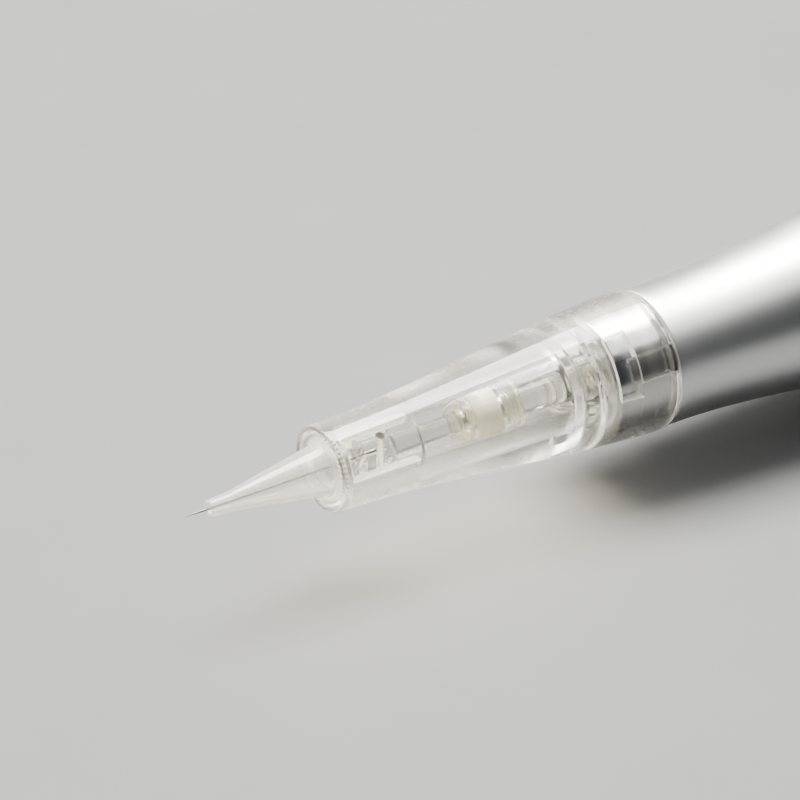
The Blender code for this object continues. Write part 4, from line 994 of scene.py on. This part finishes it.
def dark_port_wall(finish):
    """The glue port's wall, near black on one side, in the outer part of the boss."""
    radius, angle, ahead = finish.round_axis()
    from_port = ahead - PORT_PLACE
    turned = angle - PORT_ANGLE
    side = radius * turned.sine()
    spot = (from_port * from_port + side * side).root().below(PORT_RADIUS + CUT_BORDER)
    # The dark colour covers one side of the port's wall, in the boss's outer part.
    filled = radius.above(BOSS_RADIUS - PORT_DARK_DEPTH) * turned.size().below(pi / 2)
    return spot * filled, (0.03, 0.03, 0.025), 0.4


bar_finish = clear_polycarbonate("bar_polycarbonate", dark_port_wall)
dress(carve(bar, port), "needle_bar", "clear_plastic", bar_finish)

# %% Silicone seals
SEAL_RADIUS = 2.5
SEAL_BORE = 1.25
SEAL_LIP = 0.5
SEAL_WAIST = 2.0
RIB_RADIUS = 2.35
RIB_COUNT = 3
RIB_PROFILE = ((SEAL_WAIST, 0.25), (RIB_RADIUS, 0.5), (SEAL_WAIST, 0.75))
SOFT_EDGE = 0.12
bead_rear, bead_front = rear("seal_bead"), front("seal_bead")
bead_round = (bead_front - bead_rear) / 2
crown = arc((SEAL_RADIUS - bead_round, bead_rear + bead_round), bead_round, pi / 2, -pi / 2, 16)
bead_outline = [(SEAL_BORE, bead_front), *crown, (SEAL_BORE, bead_rear)]
dress(turn("seal_ball", eased(bead_outline, SOFT_EDGE / 2)), "seal_bead", "silicone")

plug_rear, plug_front = rear("silicone_plug"), front("silicone_plug")
plug_outline = [
    (SEAL_BORE, plug_front), (SEAL_WAIST, plug_front),
    (SEAL_RADIUS, plug_front - SEAL_RADIUS + SEAL_WAIST), (SEAL_RADIUS, plug_rear),
    (SEAL_BORE, plug_rear),
]
plug_finish = silicone_rubber("creamy_silicone", (0.72, 0.7, 0.62), (0.82, 0.8, 0.72), 0.45)
dress(turn("seal_plug", eased(plug_outline, SOFT_EDGE)), "silicone_plug", "silicone", plug_finish)

lip_rear, lip_front = rear("ribbed_seal"), front("ribbed_seal")
rib_pitch = (lip_front - lip_rear - 2 * SEAL_LIP) / RIB_COUNT
ribs = [(radius, lip_front - SEAL_LIP - (number + share) * rib_pitch)
        for number in range(RIB_COUNT) for radius, share in RIB_PROFILE]
ribbed_outline = [
    (SEAL_BORE, lip_front), (SEAL_RADIUS, lip_front), (SEAL_RADIUS, lip_front - SEAL_LIP), *ribs,
    (SEAL_RADIUS, lip_rear + SEAL_LIP), (SEAL_RADIUS, lip_rear), (SEAL_BORE, lip_rear),
]
dress(turn("seal_lips", eased(ribbed_outline, SOFT_EDGE)), "ribbed_seal", "silicone")

# %% [markdown]
# ## The metal nose
# A turned spigot carries two bayonet lugs. It is seen through the clear collar, so its soft sheen,
# its lead-in and the lugs in their windows matter as much as the handle's skin.

# %% Spigot with its lugs
SPIGOT_RADIUS = 6.15
SPIGOT_BORE = 4.3
SPIGOT_LEAD = 0.4
BUSH_BED = 3.1
SPIGOT_FLOOR = -2.5
LUG_RADIUS = 6.85
METAL_EDGE = 0.18
spigot_rear, spigot_front = rear("nose_spigot"), front("nose_spigot")
spigot_outline = [
    (SPIGOT_BORE, spigot_front), (SPIGOT_RADIUS - SPIGOT_LEAD, spigot_front),
    (SPIGOT_RADIUS, spigot_front - SPIGOT_LEAD), (SPIGOT_RADIUS, spigot_rear),
    (BUSH_BED, spigot_rear), (BUSH_BED, SPIGOT_FLOOR), (SPIGOT_BORE, SPIGOT_FLOOR),
]
spigot = turn("bayonet_nose", eased(spigot_outline, METAL_EDGE / 2))
lugs = wedge_pair(
    "lug", (SPIGOT_BORE + SPIGOT_RADIUS) / 2, LUG_RADIUS, lug_start, lug_end,
    WINDOW_REAR + SEAT, WINDOW_FRONT - SEAT, 16,
)
spigot = carve(spigot, *lugs, operation="UNION")
spigot_finish = turned_metal("turned_spigot", (0.6, 0.6, 0.59), (0.74, 0.74, 0.73), 0.22, 1.2)
dress(spigot, "nose_spigot", "polished_steel", spigot_finish)

# %% [markdown]
# ## The handle's skin
# The grip is waisted for the fingers: narrow behind the collar, then swelling to 23 mm. It is one
# turned shell. The outline repeats the CAD's own swell with more stations, and its radii are the
# flats' of the CAD solid, so the smooth skin stays inside the faceted one.

# %% Grip shell
HANDLE_SIDES = 224
NECK_RADIUS = 7.3
NECK_LENGTH = 3.0
FLARE_LENGTH = 43.9
EASE_SHARE = 0.85
GRIP_STATIONS = 60
SPIGOT_BED = 6.3
SEAM_BEVEL = 0.4
CAVITY_RADIUS = 10.0
CAVITY_FRONT = -40.0
BLOCK_SEAT = 8.0
BLOCK_FRONT = -28.0
SHOULDER_BORE = 5.6
SHOULDER_FRONT = -8.3
SHOULDER_REAR = -9.8
grip_radius = half_width("grip_shell")
shell_front, shell_rear = front("grip_shell"), rear("grip_shell")
grip_skin = []
for behind in np.linspace(-shell_front, -shell_rear - SEAM_BEVEL, GRIP_STATIONS):
    run = min(max((behind - NECK_LENGTH) / FLARE_LENGTH, 0), 1)
    swell = EASE_SHARE * run * run * (3 - 2 * run) + (1 - EASE_SHARE) * run
    grip_skin.append((NECK_RADIUS + (grip_radius - NECK_RADIUS) * swell, -behind))
cavity = [
    (grip_radius - SEAM_BEVEL, shell_rear), (CAVITY_RADIUS, shell_rear),
    (CAVITY_RADIUS, CAVITY_FRONT), (BLOCK_SEAT, CAVITY_FRONT), (BLOCK_SEAT, BLOCK_FRONT),
    (SPIGOT_BED, BLOCK_FRONT), (SPIGOT_BED, SHOULDER_REAR), (SHOULDER_BORE, SHOULDER_REAR),
    (SHOULDER_BORE, SHOULDER_FRONT), (SPIGOT_BED, SHOULDER_FRONT), (SPIGOT_BED, shell_front),
]
grip = turn("grip_skin", eased(grip_skin + cavity, METAL_EDGE), sides=HANDLE_SIDES)
dress(grip, "grip_shell", "satin_aluminium")

# %% [markdown]
# ## Rear housing
# Behind the seam sit the parts that the photograph crops away. The housing plugs into the grip, and
# two slots near its rear end let the dial reach the motor's carriage inside. A short filled line on
# top is the pointer that the dial's scale is read against. It could be cut as real geometry, but a
# mask from the angle and the place costs no faces and stays sharp.

# %% Rear housing
PLUG_RADIUS = 9.85
PLUG_BORE = 8.2
SEAM = -60.1
SLEEVE_SKIN = 9.0
SLEEVE_INSIDE = 7.9
HOUSING_FRONT = -61.6
HOUSING_STEP = -92.0
HOUSING_REAR = -93.2
SEAL_GROOVE_FRONT = -56.8
SEAL_GROOVE_REAR = -58.3
SEAL_GROOVE_FLOOR = 8.85
housing_front, housing_rear = front("rear_housing"), rear("rear_housing")
housing_radius = half_width("rear_housing")
housing_outline = [
    (PLUG_BORE, housing_front), (PLUG_RADIUS, housing_front), (PLUG_RADIUS, SEAL_GROOVE_FRONT),
    (SEAL_GROOVE_FLOOR, SEAL_GROOVE_FRONT), (SEAL_GROOVE_FLOOR, SEAL_GROOVE_REAR),
    (PLUG_RADIUS, SEAL_GROOVE_REAR), (PLUG_RADIUS, SEAM), (housing_radius - SEAM_BEVEL, SEAM),
    (housing_radius, SEAM - SEAM_BEVEL), (housing_radius, HOUSING_REAR + SEAM_BEVEL),
    (housing_radius - SEAM_BEVEL, HOUSING_REAR), (SLEEVE_SKIN, HOUSING_REAR),
    (SLEEVE_SKIN, housing_rear), (SLEEVE_INSIDE, housing_rear), (SLEEVE_INSIDE, HOUSING_STEP),
    (CAVITY_RADIUS, HOUSING_STEP), (CAVITY_RADIUS, HOUSING_FRONT), (PLUG_BORE, HOUSING_FRONT),
]
housing = turn("rear_skin", eased(housing_outline, METAL_EDGE), sides=HANDLE_SIDES)

# %% Carriage slots and pointer
SLOT_HALF = radians(13)
SLOT_REAR = -100.2
SLOT_FRONT = -94.1
POINTER_LENGTH = 3.4
POINTER_WIDTH = 0.55
slots = wedge_pair(
    "carriage_slot", SLEEVE_INSIDE - OVERRUN, SLEEVE_SKIN + OVERRUN, -SLOT_HALF, SLOT_HALF,
    SLOT_REAR, SLOT_FRONT,
)
housing = carve(housing, *slots)


def pointer_mark(finish):
    """A short filled line on top of the housing."""
    radius, angle, ahead = finish.round_axis()
    across = (angle * radius).size().below(POINTER_WIDTH / 2)
    return across * ahead.between(HOUSING_REAR + 2 * SEAM_BEVEL, HOUSING_REAR + POINTER_LENGTH)


housing_finish = satin_aluminium("marked_housing", pointer_mark)
dress(housing, "rear_housing", "satin_aluminium", housing_finish)

# %% [markdown]
# ## Flutes and scale of the depth dial
# The dial is turned by the fingers to set how far the needle comes out, so it has grip: twenty-four
# equal flutes are milled along it and run out before its front edge. The groove tree makes them
# from the dial's dense outline, with other numbers. The plain band in front of the flutes carries
# eleven filled marks, one for every 30 degrees of the 300 that the dial turns.

# %% Depth dial
DIAL_BORE = 9.15
DIAL_BEVEL = 0.5
FLUTE_COUNT = 24
FLUTE_DEPTH = 0.4
FLUTE_SHARE = 0.62
FLUTE_BAND = 1.8
FLUTE_RUN_OUT = 0.5
FLUTE_SKIN = 0.7
DIAL_ROWS = 26
DIAL_SIDES = FLUTE_COUNT * 16
dial_rear, dial_front = rear("depth_dial"), front("depth_dial")
dial_radius = half_width("depth_dial")
dial_rows = np.linspace(dial_front - DIAL_BEVEL, dial_rear + DIAL_BEVEL, DIAL_ROWS)
dial_outline = [
    (DIAL_BORE, dial_front), (dial_radius - DIAL_BEVEL, dial_front),
    *((dial_radius, ahead) for ahead in dial_rows),
    (dial_radius - DIAL_BEVEL, dial_rear), (DIAL_BORE, dial_rear),
]
dial = turn("fluted_dial", eased(dial_outline, METAL_EDGE), sides=DIAL_SIDES)
dial = groove(
    dial, Count=float(FLUTE_COUNT), Depth=FLUTE_DEPTH / MM, Groove_Share=FLUTE_SHARE,
    Start=at(0, 0, dial_front - FLUTE_BAND).x, End=at(0, 0, dial_rear - FLUTE_RUN_OUT).x,
    Run_Out=FLUTE_RUN_OUT / MM, Skin_Radius=(dial_radius - FLUTE_SKIN) / MM,
    Finish=FINISHES["satin_aluminium"],
)

# %% The dial's scale
SCALE_STEPS = 12
SCALE_MARKS = 11
MARK_WIDTH = 0.5
MARK_LENGTH = 1.1
MARK_FRONT = dial_front - DIAL_BEVEL / 2


def dial_scale(finish):
    """Filled marks, one in each step but the last of a full turn."""
    radius, angle, ahead = finish.round_axis()
    steps = angle / (2 * pi) * SCALE_STEPS + SCALE_STEPS
    across = ((steps + 0.5).fraction() - 0.5).size() * (2 * pi / SCALE_STEPS) * radius
    past_zero = (steps / SCALE_STEPS + 0.5 / SCALE_STEPS).fraction() * SCALE_STEPS
    along = ahead.between(MARK_FRONT - MARK_LENGTH, MARK_FRONT)
    return across.below(MARK_WIDTH / 2) * along * past_zero.below(SCALE_MARKS)


dial_finish = satin_aluminium("marked_dial", dial_scale)
dress(dial, "depth_dial", "satin_aluminium", dial_finish)

# %% [markdown]
# ## End cap and inlet
# The cap closes the end round the socket, with a large rounded corner and a recess that the plug
# sits in. The socket's threaded neck passes the cap's floor, and a nut with two slots for a pin
# spanner holds it. The thread is drawn as plain rings: on 6 mm, nobody sees that they don't climb.

# %% End cap
CAP_ROUND = 1.0
CAP_BORE = 9.15
RECESS_RADIUS = 5.6
RECESS_FLOOR = -105.6
CAP_FLOOR = -104.6
SOCKET_HOLE = 3.15
cap_rear, cap_front = rear("end_cap"), front("end_cap")
cap_radius = half_width("end_cap")
corner = arc((cap_radius - CAP_ROUND, cap_rear + CAP_ROUND), CAP_ROUND, 0, -pi / 2, 10)
cap_outline = [
    (CAP_BORE, cap_front), (cap_radius - DIAL_BEVEL, cap_front),
    (cap_radius, cap_front - DIAL_BEVEL), *corner, (RECESS_RADIUS, cap_rear),
    (RECESS_RADIUS, RECESS_FLOOR), (SOCKET_HOLE, RECESS_FLOOR), (SOCKET_HOLE, CAP_FLOOR),
    (CAP_BORE, CAP_FLOOR),
]
cap = turn("rounded_cap", eased(cap_outline, METAL_EDGE), sides=HANDLE_SIDES)
dress(cap, "end_cap", "satin_aluminium")

# %% Socket
SOCKET_RADIUS = 4.2
SOCKET_SIDES = 96
SOCKET_SHOULDER = -104.3
THREAD_RADIUS = 3.0
THREAD_DEPTH = 0.16
THREAD_PITCH = 0.5
THREAD_TURNS = 4
THREAD_START = 0.2
JACK_BORE = 1.8
JACK_DEPTH = 6.6
socket_rear, socket_front = rear("jack_socket"), front("jack_socket")
thread = []
for count in range(THREAD_TURNS):
    crest = SOCKET_SHOULDER - THREAD_START - count * THREAD_PITCH
    thread += [(THREAD_RADIUS, crest), (THREAD_RADIUS - THREAD_DEPTH, crest - THREAD_PITCH / 2)]
socket_outline = [
    (0, socket_front), (SOCKET_RADIUS, socket_front), (SOCKET_RADIUS, SOCKET_SHOULDER),
    (THREAD_RADIUS, SOCKET_SHOULDER), *thread, (THREAD_RADIUS, socket_rear),
    (JACK_BORE, socket_rear), (JACK_BORE, socket_rear + JACK_DEPTH), (0, socket_rear + JACK_DEPTH),
]
socket_outline = eased(socket_outline, MOULDED_EDGE / 2, closed=False)
socket = turn("inlet_socket", socket_outline, closed=False, sides=SOCKET_SIDES)
dress(socket, "jack_socket", "dark_plastic")

# %% Slotted nut
NUT_RADIUS = 4.9
NUT_BORE = 3.15
NUT_SLOT = 1.0
nut_rear, nut_front = rear("socket_nut"), front("socket_nut")
nut_outline = [
    (NUT_BORE, nut_front), (NUT_RADIUS, nut_front), (NUT_RADIUS, nut_rear), (NUT_BORE, nut_rear),
]
nut = turn("slotted_nut", eased(nut_outline, METAL_EDGE), sides=SOCKET_SIDES)
half_slot = NUT_SLOT / NUT_RADIUS / 2
nut_slots = wedge_pair(
    "nut_slot", NUT_RADIUS - NUT_SLOT, NUT_RADIUS + OVERRUN, pi / 2 - half_slot,
    pi / 2 + half_slot, nut_rear - OVERRUN, nut_front + OVERRUN, 4,
)
dress(carve(nut, *nut_slots), "socket_nut", "polished_steel")

# %% [markdown]
# ## The motor's two leads
# The motor slides 2.5 mm on its carriage, and its tabs with it. On a bench such leads end in a
# push-on sleeve, so each lead here starts with a hollow sleeve that the tab slides into, and then
# bows to the socket's tab. A curve with a bevel would make the wire, but not the sleeve's bore, so
# rings are laid along a path instead: from the bore's floor, out over the mouth, along the wire.

# %% Leads with push-on sleeves
PUSH_ON_BORE = 0.95
PUSH_ON_RADIUS = 1.25
PUSH_ON_DEPTH = 2.65
PUSH_ON_FLOOR = 0.35
PUSH_ON_HEEL = 0.3
TAB_GAP = 0.04
WIRE_RADIUS = 0.45
WIRE_BOW = 0.5
WIRE_STATIONS = 14
WIRE_SIDES = 32
BACKWARD = Vector((1, 0, 0))


def out_of_axis(node):
    """How far a CAD node's middle is beside the tool's axis, in millimetres."""
    low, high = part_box(node)
    return (low.y + high.y) / 2 * MM


tab_out = out_of_axis("motor_terminal_1")
contact_out = out_of_axis("socket_contact_1")
lead_front, lead_rear = rear("motor_terminal_1") - TAB_GAP, rear("lead_wire_1")
sleeve_floor = lead_front - PUSH_ON_DEPTH
wire_front = sleeve_floor - PUSH_ON_FLOOR
lip = (PUSH_ON_RADIUS - PUSH_ON_BORE) / 2
sleeve_outline = [
    (0, sleeve_floor), (PUSH_ON_BORE, sleeve_floor),
    *arc((PUSH_ON_BORE + lip, lead_front - lip), lip, pi, 0, 6),
    *arc((PUSH_ON_RADIUS - PUSH_ON_HEEL, wire_front + PUSH_ON_HEEL), PUSH_ON_HEEL, 0, -pi / 2, 6),
]


def lead(name, side):
    """A sleeve and a bowed wire in one skin, on the axis' +Y side (1) or its -Y side (-1)."""
    def place(ahead, out, bow=0):
        return Vector((rim_x - ahead / MM, side * out / MM, axis_height + side * bow / MM))

    path = []
    for run in np.linspace(0, 1, WIRE_STATIONS):
        out = tab_out + (contact_out - tab_out) * run * run * (3 - 2 * run)
        ahead = wire_front + (lead_rear - wire_front) * run
        path.append(place(ahead, out, WIRE_BOW * sin(pi * run) ** 2))
    rings = [(radius, place(ahead, tab_out), BACKWARD) for radius, ahead in sleeve_outline]
    rings += [(WIRE_RADIUS, here, (after - here).normalized())
              for here, after in zip(path, path[1:])]
    rings += [(WIRE_RADIUS, path[-1], BACKWARD), (0, path[-1], BACKWARD)]
    points = []
    rows = []
    for radius, middle, along in rings:
        start = len(points)
        if radius < AXIS_TOUCH:
            points.append(middle)
            rows.append([start] * WIRE_SIDES)
            continue
        across = along.cross(Vector((0, 0, 1))).normalized()
        up = across.cross(along)
        for turned in np.linspace(0, 2 * pi, WIRE_SIDES, endpoint=False):
            points.append(middle + (across * cos(turned) + up * sin(turned)) * radius / MM)
        rows.append(range(start, start + WIRE_SIDES))
    return skin_rows(name, points, rows, False)


dress(lead("red_lead", 1), "lead_wire_1", "red_insulation")
dress(lead("black_lead", -1), "lead_wire_2", "black_insulation")

# %% [markdown]
# ## Floor, light and camera
# The tool lies on a plain pale floor. One soft box above and behind it gives the long highlight on
# top of the handle, and a second one, low behind, rims the clear plastic. A wide soft sun from
# high on the right evens out the near side. The sky grows darker toward the camera, so that the
# handle's lower half stays dark. The camera stands where the photograph was taken from: its
# direction, distance and lens follow from the sizes of the rings' ellipses.

# %% Floor
FLOOR_HALF = 0.8
corners = [(x * FLOOR_HALF, y * FLOOR_HALF, 0) for x, y in ((-1, -1), (1, -1), (1, 1), (-1, 1))]
floor = mesh_piece("floor", corners, [(0, 1, 2, 3)])
paper = Finish("pale_paper")
fibre = paper.noise(60, 4, 0.6)
paper_shader = paper.principled({
    "Base Color": paper.ramp(fibre, (0.3, (0.21, 0.212, 0.215)), (0.7, (0.222, 0.224, 0.227))),
    "Roughness": fibre * 0.1 + 0.5,
})
floor.data.materials.append(paper.end(paper_shader))

# %% Lamps
TOOL_MIDDLE = Vector((-0.03, 0, axis_height))
EVEN_FROM = (0.47, -0.18, 0.86)


def soft_box(name, place, width, depth, watts):
    """A rectangular soft light that looks at the tool."""
    lamp = bpy.data.lights.new(name, "AREA")
    lamp.shape = "RECTANGLE"
    lamp.size = width
    lamp.size_y = depth
    lamp.energy = watts
    lamp.color = (1.0, 0.985, 0.95)
    holder = bpy.data.objects.new(name, lamp)
    holder.location = place
    holder.rotation_euler = (TOOL_MIDDLE - Vector(place)).to_track_quat("-Z", "Y").to_euler()
    bpy.context.scene.collection.objects.link(holder)


soft_box("top_box", (0.03, 0.17, 0.4), 0.5, 0.24, 6.5)
soft_box("back_box", (-0.35, 0.45, 0.2), 0.4, 0.2, 1.6)
even_light = bpy.data.lights.new("even_light", "SUN")
even_light.energy = 0.5
even_light.angle = radians(38)
even_holder = bpy.data.objects.new("even_light", even_light)
even_holder.rotation_euler = Vector(EVEN_FROM).to_track_quat("Z", "Y").to_euler()
bpy.context.scene.collection.objects.link(even_holder)

# %% Sky and light bounces
world = bpy.data.worlds.new("studio")
bpy.context.scene.world = world
world.use_nodes = True
sky = Tree(world.node_tree)
direction = sky.node("ShaderNodeTexCoord", output="Generated")
toward_back, height = (sky.node("ShaderNodeSeparateXYZ", {}, {0: direction}, name) for name in "YZ")
glow = sky.node("ShaderNodeValToRGB", {"stops": (
    (0.0, (0.05, 0.052, 0.055)), (0.3, (0.1, 0.102, 0.105)), (0.6, (0.36, 0.358, 0.35)),
    (1.0, (0.5, 0.498, 0.485)),
)}, {"Fac": toward_back * 0.4 + height * 0.3 + 0.4}, "Color")
world.node_tree.links.new(glow.socket, world.node_tree.nodes["Background"].inputs["Color"])
bounces = bpy.context.scene.cycles
bounces.max_bounces = 28
bounces.transmission_bounces = 28
bounces.glossy_bounces = 12
bounces.transparent_max_bounces = 24

# %% Camera
AIM = Vector((-0.05539, 0, 0.0163))
AZIMUTH = radians(-33.57)
ELEVATION = radians(31.13)
CAMERA_DISTANCE = 0.49084
SENSOR = 36
FOCAL_PIXELS = 5000
PHOTO_PIXELS = 800
back = Vector((sin(AZIMUTH) * cos(ELEVATION), -cos(AZIMUTH) * cos(ELEVATION), sin(ELEVATION)))
camera_data = bpy.data.cameras.new("camera")
camera_data.sensor_width = SENSOR
camera_data.lens = SENSOR * FOCAL_PIXELS / PHOTO_PIXELS
camera_data.clip_start = 0.01
camera_data.clip_end = 10
camera = bpy.data.objects.new("camera", camera_data)
camera.location = AIM + back * CAMERA_DISTANCE
camera.rotation_euler = (-back).to_track_quat("-Z", "Y").to_euler()
bpy.context.scene.collection.objects.link(camera)
bpy.context.scene.camera = camera
colours = bpy.context.scene.view_settings
colours.view_transform = "AgX"
colours.look = "AgX - Medium High Contrast"
print("camera", [round(value, 3) for value in camera.location], "lens", camera_data.lens)
